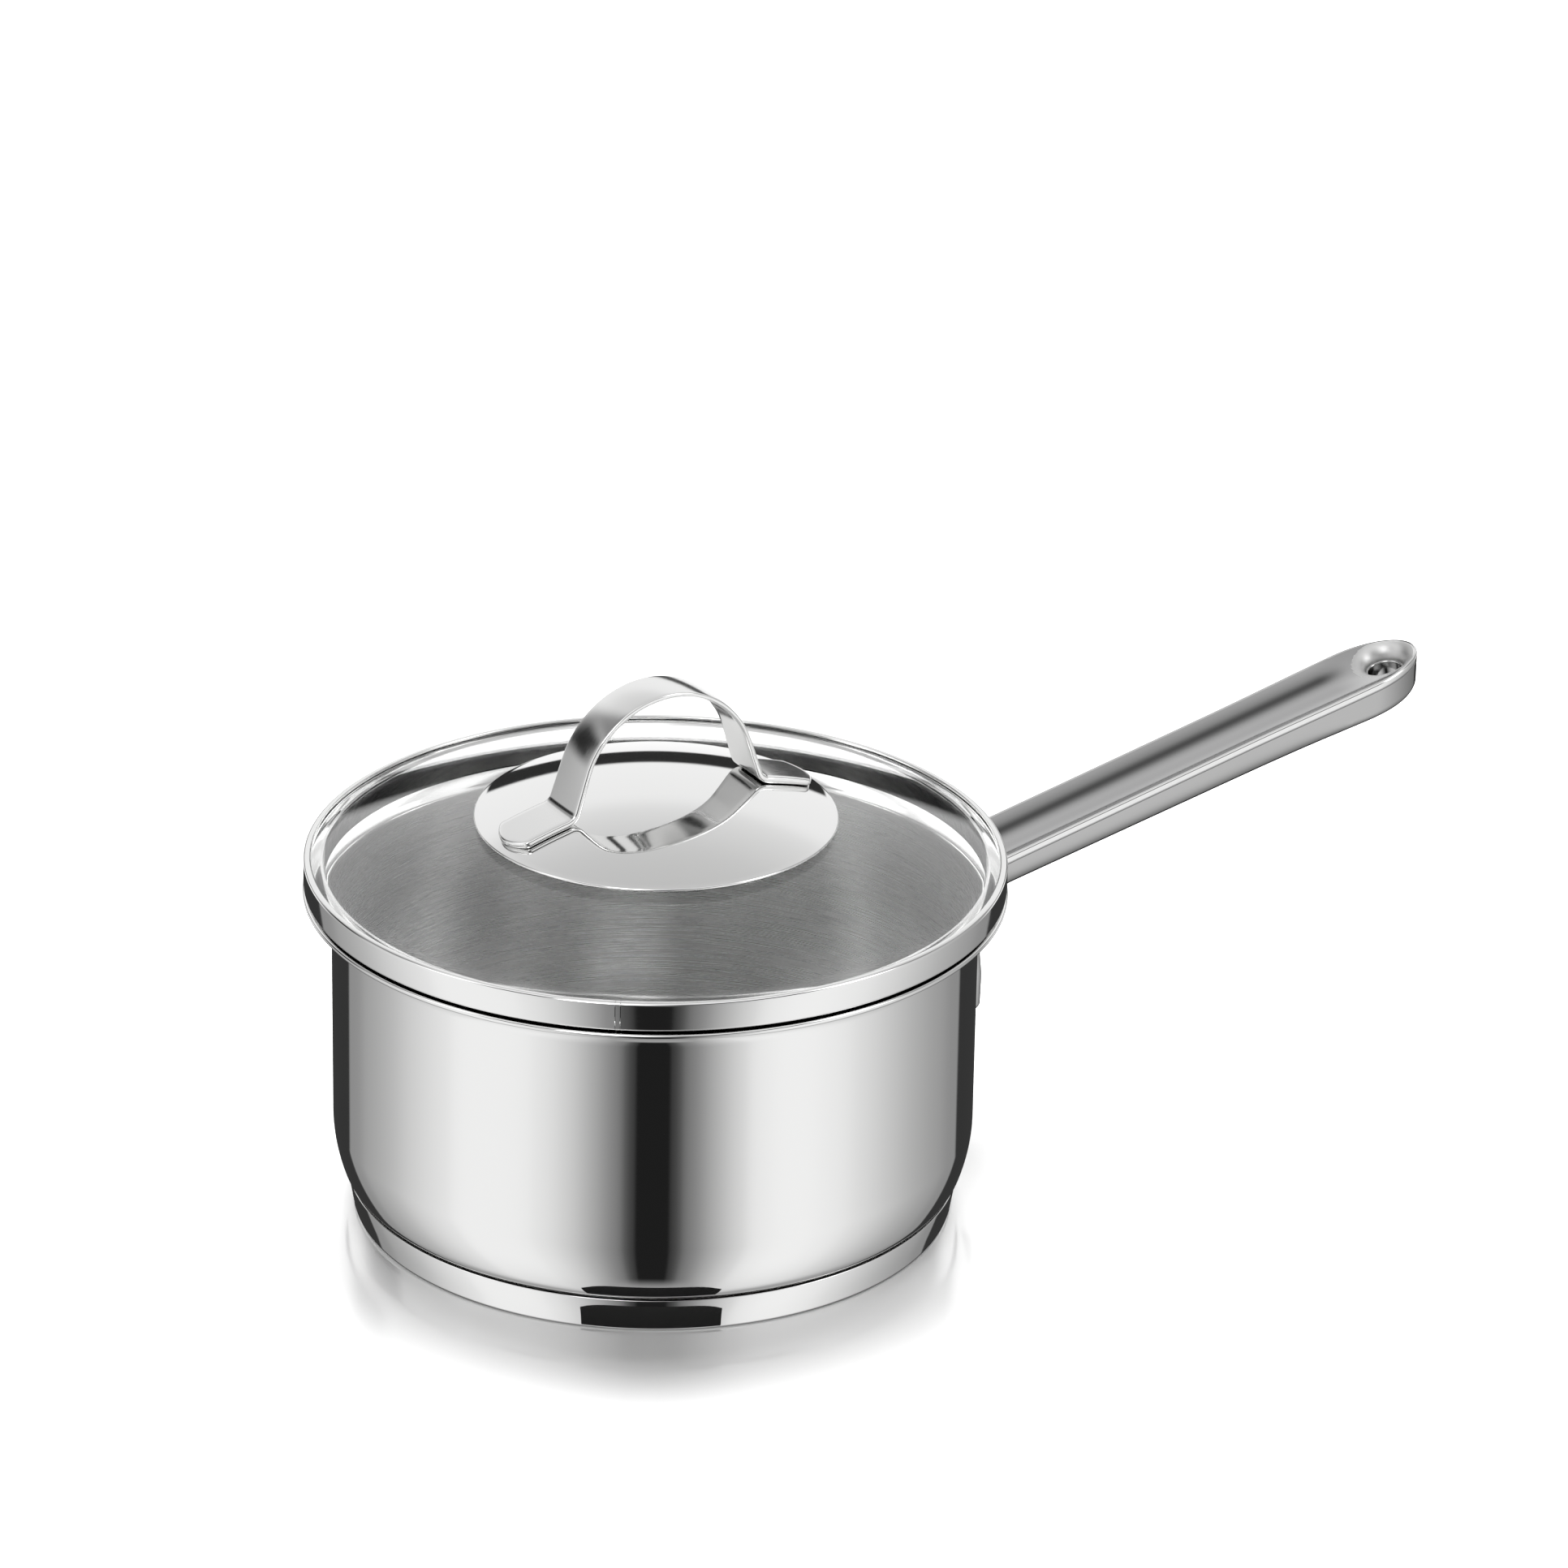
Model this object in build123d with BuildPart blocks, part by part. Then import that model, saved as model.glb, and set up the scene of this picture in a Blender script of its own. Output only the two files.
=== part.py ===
from build123d import *
import math
import os

# Saucepan with a glass lid. Millimetres, +Z up. The origin is the centre of the base's bottom face,
# the pot's axis is Z, and the long handle points along +X. The bow on the lid lies in the same plane.

os.makedirs("parts", exist_ok=True)

# ---- driving dimensions -------------------------------------------------------------------------

# vessel: one deep-drawn shell with a flared pouring rim
WALL_R = 81.0
SHEET = 0.8
BOTTOM_Z = 7.5
BELLY_R = 39.0
BELLY_Z = 25.0
CORNER_R = 7.0
FLARE_Z = 79.5
FLARE_R = 6.0
LIP_R = 88.2
LIP_THICK = 1.4

# capsule base: aluminium core inside a shallow stainless cup
CAP_TOP_Z = 9.0
CAP_TOP_R = 77.45
CAP_FOOT_R = 75.9
CAP_SHEET = 0.8
CAP_EDGE_R = 1.2
CORE_CLEARANCE = 0.05
CORE_CHAMFER = 1.0

# lid: tempered glass dome held in a rolled steel band
GLASS_R = 255.0
GLASS_TOP_Z = 108.6
GLASS_THICK = 4.0
GLASS_EDGE_R = 87.0
GLASS_ROUND = 1.6
GLASS_HOLE_R = 5.5
BAND_R = 87.9
BAND_SHEET = 0.7
BAND_TOP_Z = 94.5
BAND_FOOT_Z = 87.0
BAND_ROLL = 0.8
BAND_LIP_R = 86.2
BAND_LEG_R = 82.2
BAND_LEG_TOP_Z = 90.45
SEAT_CLEARANCE = 0.35
SEAT_OUTER_R = 86.0
BAND_TURN_R = 86.4
BAND_SEAM_WIDTH = 0.3
BAND_SEAM_ANGLE = -125.7

# domed steel disc on the glass
DISC_R = 45.5
DISC_DOME_R = 133.4
DISC_TOP_Z = 113.0
DISC_SHEET = 0.6
DISC_WALL = 0.9
DISC_GLASS_GAP = 0.03

# bow handle of the lid, a bent strap
BOW_THICK = 1.8
BOW_ARCH_R = 25.0
BOW_ARCH_Z = 115.0
BOW_LEG_ANGLE = 18.0
BOW_HALF_WIDTH = 6.4
BOW_FOOT_HALF_WIDTH = 7.2
BOW_FOOT_CORNER_X = 40.3
BOW_FOOT_END_X = 43.4
BOW_WAIST_X = 30.0
BOW_CREASE_R = 1.2
BOW_HEEL_R = 3.0
BOW_BLANK_FOOT_Z = 98.0
BOW_BLANK_HEIGHT = 60.0

# lid fastening stack under the disc
STUD_R = 3.0
STUD_FOOT_Z = 97.6
BOSS_R = 7.0
BOSS_TOP_Z = 112.2
BOSS_FOOT_Z = 110.1
GASKET_R = 10.0
GASKET_BORE_R = 3.1
COLLAR_R = 5.3
LOWER_GASKET_R = 9.0
LOWER_GASKET_TOP_Z = 104.4
LOWER_GASKET_THICK = 1.3
WASHER_R = 8.0
WASHER_BORE_R = 3.2
WASHER_THICK = 0.8
NUT_FLATS = 10.0
NUT_HEX_HEIGHT = 5.0
NUT_DOME_R = 4.6
NUT_BORE_DEPTH = 6.0
NUT_BORE_R = 3.02

# long handle: two pressed shells on a wall flange, with a hanging eye
RIM_SLOPE = 0.2228
RIM_Z_AT_110 = 79.0
UNDER_SLOPE = 0.2116
UNDER_Z_AT_110 = 69.3
HANDLE_HALF_WIDTH = 10.7
TIP_HALF_WIDTH = 11.3
TIP_WIDEST_X = 211.0
TIP_X = 229.8
TIP_HEEL_R = 7.0
TIP_HEEL_REACH = 1.0
KEEL_START_X = 104.0
TROUGH_R = 28.0
TROUGH_DEPTH = 1.8
SHELL_SHEET = 1.0
SHELL_SEAM_DEPTH = 2.0
UNDER_ROUND = 4.0
FLANGE_THICK = 1.5
FLANGE_MARGIN = 1.5
FLANGE_TOP_Z = 77.5
TONGUE_FOOT_Z = 32.0
TONGUE_X = 94.0
TONGUE_FOOT_X = 92.0
TONGUE_HALF_WIDTH = 8.0
TONGUE_FOOT_ROUND = 7.8
SHOULDER_Z = 66.0
WAIST_Z = 42.0
ELBOW_R = 9.0
TIP_NARROW_X = 185.0
TONGUE_HEEL_R = 5.0
EYE_X = 220.5
EYE_R = 4.5
EYE_SHEET = 0.7
EYE_TOP_DEPTH = 4.4
EYE_FOOT_DEPTH = 10.3
DIMPLE_R = 8.5
DIMPLE_FLOOR_R = 5.0
DIMPLE_DEPTH = 4.6
BOSS_RING_R = 7.2
BOSS_RING_TOP = 2.0
BOSS_RING_FOOT = 5.6


# ---- shared geometry ----------------------------------------------------------------------------

def dome_z(radius, top_z, r):
    """Height at radius r of a dome of the given sphere radius whose crown is at top_z."""
    return top_z - radius + math.sqrt(radius**2 - r**2)


def dome_arc(radius, top_z, r_start, r_end):
    """The dome's line in the profile plane, from one radius to another."""
    stations = (r_start, (r_start + r_end) / 2, r_end)
    return ThreePointArc(*[(r, dome_z(radius, top_z, r)) for r in stations])


def on_circle(centre, radius, degrees):
    """A point on a circle in the profile plane."""
    angle = math.radians(degrees)
    return (centre[0] + radius * math.cos(angle), centre[1] + radius * math.sin(angle))


def rim_z(x):
    """Height of the long handle's upper rim."""
    return RIM_Z_AT_110 + RIM_SLOPE * (x - 110.0)


def under_z(x):
    """Height of the long handle's underside."""
    return UNDER_Z_AT_110 + UNDER_SLOPE * (x - 110.0)


# The belly is a large arc that leaves the straight wall at BELLY_Z; a corner arc joins it to the floor.
BELLY_CENTRE = (WALL_R - BELLY_R, BELLY_Z)
CORNER_CENTRE = (
    BELLY_CENTRE[0] + math.sqrt((BELLY_R - CORNER_R)**2 - (BELLY_Z - BOTTOM_Z - CORNER_R)**2),
    BOTTOM_Z + CORNER_R,
)
CORNER_TURN = math.degrees(math.atan2(CORNER_CENTRE[1] - BELLY_CENTRE[1], CORNER_CENTRE[0] - BELLY_CENTRE[0]))
FLARE_CENTRE = (WALL_R + FLARE_R, FLARE_Z)
GLASS_UNDER_R = GLASS_R - GLASS_THICK
GLASS_UNDER_TOP_Z = GLASS_TOP_Z - GLASS_THICK


# ---- vessel -------------------------------------------------------------------------------------

LIP_ROUND = LIP_THICK / 2
LIP_TOP_Z = FLARE_Z + FLARE_R + SHEET
LIP_CENTRE = (LIP_R - LIP_ROUND, LIP_TOP_Z - LIP_ROUND)
FLARE_END = 110.0

with BuildPart() as vessel:
    with BuildSketch(Plane.XZ):
        with BuildLine():
            Line((0, BOTTOM_Z), (CORNER_CENTRE[0], BOTTOM_Z))
            CenterArc(CORNER_CENTRE, CORNER_R, -90, 90 + CORNER_TURN)
            CenterArc(BELLY_CENTRE, BELLY_R, CORNER_TURN, -CORNER_TURN)
            Line((WALL_R, BELLY_Z), (WALL_R, FLARE_Z))
            CenterArc(FLARE_CENTRE, FLARE_R, 180, FLARE_END - 180)
            Line(on_circle(FLARE_CENTRE, FLARE_R, FLARE_END), on_circle(LIP_CENTRE, LIP_ROUND, -90))
            CenterArc(LIP_CENTRE, LIP_ROUND, -90, 180)
            Line(on_circle(LIP_CENTRE, LIP_ROUND, 90), (FLARE_CENTRE[0], LIP_TOP_Z))
            CenterArc(FLARE_CENTRE, FLARE_R + SHEET, 90, 90)
            Line((WALL_R - SHEET, FLARE_Z), (WALL_R - SHEET, BELLY_Z))
            CenterArc(BELLY_CENTRE, BELLY_R - SHEET, 0, CORNER_TURN)
            CenterArc(CORNER_CENTRE, CORNER_R - SHEET, CORNER_TURN, -90 - CORNER_TURN)
            Line((CORNER_CENTRE[0], BOTTOM_Z + SHEET), (0, BOTTOM_Z + SHEET))
            Line((0, BOTTOM_Z + SHEET), (0, BOTTOM_Z))
        make_face()
    revolve(axis=Axis.Z)
vessel.part.label = "vessel"
export_step(vessel.part, "parts/vessel.step")


# ---- capsule base -------------------------------------------------------------------------------

CAP_FLARE = (CAP_TOP_R - CAP_FOOT_R) / CAP_TOP_Z


def cap_inner_r(z):
    """Radius of the base cup's inner wall."""
    return CAP_FOOT_R + CAP_FLARE * z - CAP_SHEET


with BuildPart() as base_cap:
    with BuildSketch(Plane.XZ):
        with BuildLine():
            Polyline(
                (0, 0),
                (CAP_FOOT_R, 0),
                (CAP_TOP_R, CAP_TOP_Z),
                (cap_inner_r(CAP_TOP_Z), CAP_TOP_Z),
                (cap_inner_r(CAP_SHEET), CAP_SHEET),
                (0, CAP_SHEET),
                close=True,
            )
        face = make_face()
        fillet(face.vertices().sort_by_distance((CAP_FOOT_R, 0, 0))[0], CAP_EDGE_R)
    revolve(axis=Axis.Z)
base_cap.part.label = "base_cap"
export_step(base_cap.part, "parts/base_cap.step")

with BuildPart() as base_core:
    with BuildSketch(Plane.XZ):
        with BuildLine():
            Polyline(
                (0, CAP_SHEET),
                (cap_inner_r(CAP_SHEET) - CORE_CHAMFER, CAP_SHEET),
                (cap_inner_r(CAP_SHEET + CORE_CHAMFER) - CORE_CLEARANCE, CAP_SHEET + CORE_CHAMFER),
                (cap_inner_r(BOTTOM_Z) - CORE_CLEARANCE, BOTTOM_Z),
                (0, BOTTOM_Z),
                close=True,
            )
        make_face()
    revolve(axis=Axis.Z)
base_core.part.label = "base_core"
export_step(base_core.part, "parts/base_core.step")


# ---- lid glass and its band ---------------------------------------------------------------------

with BuildPart() as lid_glass:
    with BuildSketch(Plane.XZ):
        with BuildLine():
            under = dome_arc(GLASS_UNDER_R, GLASS_UNDER_TOP_Z, GLASS_HOLE_R, GLASS_EDGE_R)
            over = dome_arc(GLASS_R, GLASS_TOP_Z, GLASS_EDGE_R, GLASS_HOLE_R)
            Line(under @ 1, over @ 0)
            Line(over @ 1, under @ 0)
        face = make_face()
        fillet(face.vertices().sort_by(Axis.X)[-2:], GLASS_ROUND)
    revolve(axis=Axis.Z)
lid_glass.part.label = "lid_glass"
export_step(lid_glass.part, "parts/lid_glass.step")

# The band's underside follows the vessel's flare at the seat clearance, so the lid centres itself.
SEAT_R = FLARE_R + SHEET + SEAT_CLEARANCE
SEAT_START = math.degrees(math.acos((SEAT_OUTER_R - FLARE_CENTRE[0]) / SEAT_R))
SEAT_END = math.degrees(math.acos((BAND_LEG_R - FLARE_CENTRE[0]) / SEAT_R))
INNER_SEAT_R = SEAT_R + BAND_SHEET
INNER_SEAT_START = math.degrees(math.acos((SEAT_OUTER_R - FLARE_CENTRE[0]) / INNER_SEAT_R))
INNER_SEAT_END = math.degrees(math.acos((BAND_LEG_R + BAND_SHEET - FLARE_CENTRE[0]) / INNER_SEAT_R))
BAND_LOOP = 120.0

with BuildPart() as lid_rim_band:
    with BuildSketch(Plane.XZ):
        with BuildLine():
            Line((BAND_LIP_R, BAND_TOP_Z), (BAND_R - BAND_ROLL, BAND_TOP_Z))
            CenterArc((BAND_R - BAND_ROLL, BAND_TOP_Z - BAND_ROLL), BAND_ROLL, 90, -90)
            Line((BAND_R, BAND_TOP_Z - BAND_ROLL), (BAND_R, BAND_FOOT_Z + BAND_ROLL))
            CenterArc((BAND_R - BAND_ROLL, BAND_FOOT_Z + BAND_ROLL), BAND_ROLL, 0, -90)
            Polyline(
                (BAND_R - BAND_ROLL, BAND_FOOT_Z),
                (BAND_TURN_R, BAND_FOOT_Z),
                on_circle(FLARE_CENTRE, SEAT_R, SEAT_START),
            )
            CenterArc(FLARE_CENTRE, SEAT_R, SEAT_START, SEAT_END - SEAT_START)
            Polyline(
                on_circle(FLARE_CENTRE, SEAT_R, SEAT_END),
                (BAND_LEG_R, BAND_LEG_TOP_Z),
                (BAND_LEG_R + BAND_SHEET, BAND_LEG_TOP_Z),
                on_circle(FLARE_CENTRE, INNER_SEAT_R, INNER_SEAT_END),
            )
            CenterArc(FLARE_CENTRE, INNER_SEAT_R, INNER_SEAT_END, INNER_SEAT_START - INNER_SEAT_END)
            Polyline(
                on_circle(FLARE_CENTRE, INNER_SEAT_R, INNER_SEAT_START),
                (BAND_TURN_R, BAND_FOOT_Z + BAND_SHEET),
                (BAND_R - BAND_SHEET, BAND_FOOT_Z + BAND_ROLL + BAND_SHEET),
                (BAND_R - BAND_SHEET, BAND_TOP_Z - BAND_SHEET),
                (BAND_LIP_R, BAND_TOP_Z - BAND_SHEET),
                (BAND_LIP_R, BAND_TOP_Z),
            )
        make_face()
    revolve(axis=Axis.Z)
    with Locations(Location((0, 0, BAND_TOP_Z), (0, 0, BAND_SEAM_ANGLE))):
        Box(BAND_LOOP, BAND_SEAM_WIDTH, BAND_LOOP, align=(Align.MIN, Align.CENTER, Align.CENTER),
            mode=Mode.SUBTRACT)
lid_rim_band.part.label = "lid_rim_band"
export_step(lid_rim_band.part, "parts/lid_rim_band.step")


# ---- domed disc on the glass --------------------------------------------------------------------

DISC_INNER_R = DISC_R - DISC_WALL
DISC_UNDER_R = DISC_DOME_R - DISC_SHEET
DISC_UNDER_TOP_Z = DISC_TOP_Z - DISC_SHEET

with BuildPart() as lid_disc:
    with BuildSketch(Plane.XZ):
        with BuildLine():
            crown = dome_arc(DISC_DOME_R, DISC_TOP_Z, 0, DISC_R)
            Polyline(
                crown @ 1,
                (DISC_R, dome_z(GLASS_R, GLASS_TOP_Z, DISC_R) + DISC_GLASS_GAP),
                (DISC_INNER_R, dome_z(GLASS_R, GLASS_TOP_Z, DISC_INNER_R) + DISC_GLASS_GAP),
                (DISC_INNER_R, dome_z(DISC_UNDER_R, DISC_UNDER_TOP_Z, DISC_INNER_R)),
            )
            belly = dome_arc(DISC_UNDER_R, DISC_UNDER_TOP_Z, DISC_INNER_R, 0)
            Line(belly @ 1, crown @ 0)
        make_face()
    revolve(axis=Axis.Z)
lid_disc.part.label = "lid_disc"
export_step(lid_disc.part, "parts/lid_disc.step")


# ---- bow handle of the lid ----------------------------------------------------------------------

ARCH_CENTRE = (0.0, BOW_ARCH_Z)
DOME_CENTRE_Z = DISC_TOP_Z - DISC_DOME_R
LEG_TURN = math.radians(BOW_LEG_ANGLE)
LEG_RUN = (math.sin(LEG_TURN), -math.cos(LEG_TURN))


def foot_corner(arch_r, foot_r):
    """Where a leg's straight line meets the circle that the foot follows over the dome."""
    start = on_circle(ARCH_CENTRE, arch_r, BOW_LEG_ANGLE)
    along = start[0] * LEG_RUN[0] + (start[1] - DOME_CENTRE_Z) * LEG_RUN[1]
    square = start[0]**2 + (start[1] - DOME_CENTRE_Z)**2 - foot_r**2
    reach = -along - math.sqrt(along**2 - square)
    return (start[0] + reach * LEG_RUN[0], start[1] + reach * LEG_RUN[1])


def foot_point(foot_r, x):
    """A point of the circle that the foot follows over the dome."""
    return (x, DOME_CENTRE_Z + math.sqrt(foot_r**2 - x**2))


def mirrored(point):
    """The same point on the other side of the bow."""
    return (-point[0], point[1])


def bow_line(arch_r, foot_r):
    """One face of the strap in side view: foot, leg, arch, leg and foot."""
    corner = foot_corner(arch_r, foot_r)
    shoulder = on_circle(ARCH_CENTRE, arch_r, BOW_LEG_ANGLE)
    toe = foot_point(foot_r, BOW_FOOT_END_X)
    middle = foot_point(foot_r, (BOW_FOOT_END_X + corner[0]) / 2)
    ThreePointArc(mirrored(toe), mirrored(middle), mirrored(corner))
    Line(mirrored(corner), mirrored(shoulder))
    ThreePointArc(mirrored(shoulder), (0, BOW_ARCH_Z + arch_r), shoulder)
    Line(shoulder, corner)
    ThreePointArc(corner, middle, toe)
    return corner, toe


with BuildPart() as lid_bow:
    with BuildSketch(Plane.XZ) as bow_side:
        with BuildLine():
            top_corner, top_toe = bow_line(BOW_ARCH_R, DISC_DOME_R + BOW_THICK)
            under_corner, under_toe = bow_line(BOW_ARCH_R - BOW_THICK, DISC_DOME_R)
            Line(top_toe, under_toe)
            Line(mirrored(top_toe), mirrored(under_toe))
        make_face()
        for corner, radius in ((top_corner, BOW_CREASE_R), (under_corner, BOW_HEEL_R)):
            for x, z in (corner, mirrored(corner)):
                fillet(bow_side.vertices().sort_by_distance((x, 0, z))[0], radius)
    extrude(amount=BOW_FOOT_HALF_WIDTH, both=True)
    with BuildSketch(Plane.XY.offset(BOW_BLANK_FOOT_Z)):
        with BuildLine():
            for side in (1, -1):
                ThreePointArc(
                    (side * BOW_FOOT_CORNER_X, -BOW_FOOT_HALF_WIDTH),
                    (side * BOW_FOOT_END_X, 0),
                    (side * BOW_FOOT_CORNER_X, BOW_FOOT_HALF_WIDTH),
                )
                Polyline(
                    (-BOW_FOOT_CORNER_X, side * BOW_FOOT_HALF_WIDTH),
                    (-BOW_WAIST_X, side * BOW_FOOT_HALF_WIDTH),
                    (-BOW_ARCH_R + BOW_THICK, side * BOW_HALF_WIDTH),
                    (BOW_ARCH_R - BOW_THICK, side * BOW_HALF_WIDTH),
                    (BOW_WAIST_X, side * BOW_FOOT_HALF_WIDTH),
                    (BOW_FOOT_CORNER_X, side * BOW_FOOT_HALF_WIDTH),
                )
        make_face()
    extrude(amount=BOW_BLANK_HEIGHT, mode=Mode.INTERSECT)
lid_bow.part.label = "lid_bow"
export_step(lid_bow.part, "parts/lid_bow.step")


# ---- lid fastening stack ------------------------------------------------------------------------

STAND_UP = (Align.CENTER, Align.CENTER, Align.MIN)
HANG_DOWN = (Align.CENTER, Align.CENTER, Align.MAX)

with BuildPart() as lid_stud:
    with Locations((0, 0, STUD_FOOT_Z)):
        Cylinder(STUD_R, BOSS_FOOT_Z - STUD_FOOT_Z, align=STAND_UP)
    with Locations((0, 0, BOSS_FOOT_Z)):
        Cylinder(BOSS_R, BOSS_TOP_Z - BOSS_FOOT_Z, align=STAND_UP)
lid_stud.part.label = "lid_stud"
export_step(lid_stud.part, "parts/lid_stud.step")

with BuildPart() as upper_gasket:
    with BuildSketch(Plane.XZ):
        with BuildLine():
            Polyline(
                (GASKET_BORE_R, GLASS_UNDER_TOP_Z),
                (COLLAR_R, GLASS_UNDER_TOP_Z),
                (COLLAR_R, GLASS_TOP_Z),
                (GASKET_R, GLASS_TOP_Z),
                (GASKET_R, BOSS_FOOT_Z),
                (GASKET_BORE_R, BOSS_FOOT_Z),
                close=True,
            )
        make_face()
    revolve(axis=Axis.Z)
upper_gasket.part.label = "upper_gasket"
export_step(upper_gasket.part, "parts/upper_gasket.step")

WASHER_TOP_Z = LOWER_GASKET_TOP_Z - LOWER_GASKET_THICK
NUT_TOP_Z = WASHER_TOP_Z - WASHER_THICK

with BuildPart() as lower_gasket:
    with Locations((0, 0, LOWER_GASKET_TOP_Z)):
        Cylinder(LOWER_GASKET_R, LOWER_GASKET_THICK, align=HANG_DOWN)
        Cylinder(GASKET_BORE_R, LOWER_GASKET_THICK, align=HANG_DOWN, mode=Mode.SUBTRACT)
lower_gasket.part.label = "lower_gasket"
export_step(lower_gasket.part, "parts/lower_gasket.step")

with BuildPart() as lid_washer:
    with Locations((0, 0, WASHER_TOP_Z)):
        Cylinder(WASHER_R, WASHER_THICK, align=HANG_DOWN)
        Cylinder(WASHER_BORE_R, WASHER_THICK, align=HANG_DOWN, mode=Mode.SUBTRACT)
lid_washer.part.label = "lid_washer"
export_step(lid_washer.part, "parts/lid_washer.step")

with BuildPart() as lid_cap_nut:
    with BuildSketch(Plane.XY.offset(NUT_TOP_Z - NUT_HEX_HEIGHT)):
        RegularPolygon(NUT_FLATS / 2, 6, major_radius=False)
    extrude(amount=NUT_HEX_HEIGHT)
    with Locations((0, 0, NUT_TOP_Z - NUT_HEX_HEIGHT)):
        Sphere(NUT_DOME_R)
    with Locations((0, 0, NUT_TOP_Z)):
        Cylinder(NUT_BORE_R, NUT_BORE_DEPTH, align=HANG_DOWN, mode=Mode.SUBTRACT)
lid_cap_nut.part.label = "lid_cap_nut"
export_step(lid_cap_nut.part, "parts/lid_cap_nut.step")


# ---- long handle --------------------------------------------------------------------------------

TILT = math.atan(RIM_SLOPE)
HANDLE_X_DIR = (math.cos(TILT), 0, math.sin(TILT))
HANDLE_Z_DIR = (-math.sin(TILT), 0, math.cos(TILT))
UNDER_TILT = math.atan(UNDER_SLOPE)
UNDER_X_DIR = (math.cos(UNDER_TILT), 0, math.sin(UNDER_TILT))
ROOT_X = 70.0
END_X = TIP_X + 6.0
SIDE_HEADROOM = 40.0
TONGUE_OUTLINE = (
    (SIDE_HEADROOM, 3 * SIDE_HEADROOM),
    (SIDE_HEADROOM, SHOULDER_Z + SIDE_HEADROOM),
    (HANDLE_HALF_WIDTH, SHOULDER_Z),
    (TONGUE_HALF_WIDTH, WAIST_Z),
    (TONGUE_HALF_WIDTH, TONGUE_FOOT_Z),
)


def rim_plane(x):
    """Plane of the handle's rim, with its origin on the rim above x."""
    return Plane(origin=(x, 0, rim_z(x)), x_dir=HANDLE_X_DIR, z_dir=HANDLE_Z_DIR)


def mirrored_pair(points):
    """A closed outline from its right half, listed from the top down."""
    return [*points, *[(-y, z) for y, z in reversed(points)]]


def trough_bar(radius):
    """A long round bar above the handle, whose lowest line is the bottom of the trough."""
    centre = rim_plane(ROOT_X).from_local_coords((0, 0, TROUGH_R - TROUGH_DEPTH))
    with BuildPart() as bar:
        with BuildSketch(Plane(origin=centre, z_dir=HANDLE_X_DIR)):
            Circle(radius)
        extrude(amount=END_X)
    return bar.part


def keel_bar(inset):
    """A long bar with rounded lower corners, resting on the handle's underside."""
    radius = UNDER_ROUND - inset
    half_width = TIP_HALF_WIDTH - inset
    start = (KEEL_START_X, 0, under_z(KEEL_START_X) + inset / math.cos(UNDER_TILT))
    with BuildPart() as bar:
        with BuildSketch(Plane(origin=start, x_dir=(0, 1, 0), z_dir=UNDER_X_DIR)):
            with Locations((0, SIDE_HEADROOM / 2)):
                Rectangle(2 * half_width, SIDE_HEADROOM)
        extrude(amount=END_X)
        lower_edges = bar.edges().filter_by(Axis(start, UNDER_X_DIR)).sort_by(Axis.Z)
        fillet(lower_edges[:2], radius)
    return bar.part


def handle_form(inset):
    """The handle's outer form, or with an inset the hollow inside its shells."""
    with BuildPart() as form:
        with BuildSketch(Plane.XZ):
            with BuildLine():
                Polyline(
                    (ROOT_X, rim_z(ROOT_X) + inset),
                    (TIP_X + TIP_HEEL_REACH, rim_z(TIP_X + TIP_HEEL_REACH) + inset),
                    (TIP_X + TIP_HEEL_REACH, under_z(TIP_X + TIP_HEEL_REACH)),
                    (TONGUE_X, under_z(TONGUE_X)),
                    (TONGUE_FOOT_X, TONGUE_FOOT_Z),
                    (ROOT_X, TONGUE_FOOT_Z),
                    close=True,
                )
            side = make_face()
            corners = side.vertices().sort_by(Axis.X)
            fillet(corners.filter_by(lambda v: v.X > TIP_X).sort_by(Axis.Z)[0], TIP_HEEL_R)
            fillet(corners.filter_by(lambda v: v.X == TONGUE_X), ELBOW_R)
            fillet(corners.filter_by(lambda v: v.X == TONGUE_FOOT_X), TONGUE_HEEL_R)
            if inset:
                offset(amount=-inset)
        extrude(amount=SIDE_HEADROOM, both=True)
        with BuildSketch(Plane.XY):
            with BuildLine():
                for side in (1, -1):
                    Polyline(
                        (ROOT_X, side * (HANDLE_HALF_WIDTH - inset)),
                        (TIP_NARROW_X, side * (HANDLE_HALF_WIDTH - inset)),
                        (TIP_WIDEST_X, side * (TIP_HALF_WIDTH - inset)),
                    )
                Line((ROOT_X, inset - HANDLE_HALF_WIDTH), (ROOT_X, HANDLE_HALF_WIDTH - inset))
                EllipticalCenterArc(
                    (TIP_WIDEST_X, 0), TIP_X - TIP_WIDEST_X - inset, TIP_HALF_WIDTH - inset, -90, arc_size=180
                )
            make_face()
        extrude(amount=END_X, mode=Mode.INTERSECT)
        with BuildSketch(Plane.YZ):
            with BuildLine():
                Polyline(*mirrored_pair(TONGUE_OUTLINE), close=True)
            front = make_face()
            fillet(front.vertices().sort_by(Axis.Z)[:2], TONGUE_FOOT_ROUND)
            if inset:
                offset(amount=-inset)
        extrude(amount=END_X, mode=Mode.INTERSECT)
    with BuildPart() as root_block:
        with Locations((KEEL_START_X, 0, 0)):
            Box(KEEL_START_X, 2 * SIDE_HEADROOM, 2 * END_X, align=(Align.MAX, Align.CENTER, Align.MIN))
        add(keel_bar(inset))
    return form.part & root_block.part


outer_form = handle_form(0)
inner_form = handle_form(SHELL_SHEET)
seam_plane = rim_plane(ROOT_X).offset(-SHELL_SEAM_DEPTH)
eye_plane = rim_plane(EYE_X)

with BuildPart() as under_plate_hollow:
    add(inner_form)
    add(trough_bar(TROUGH_R + SHELL_SHEET), mode=Mode.SUBTRACT)

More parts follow.
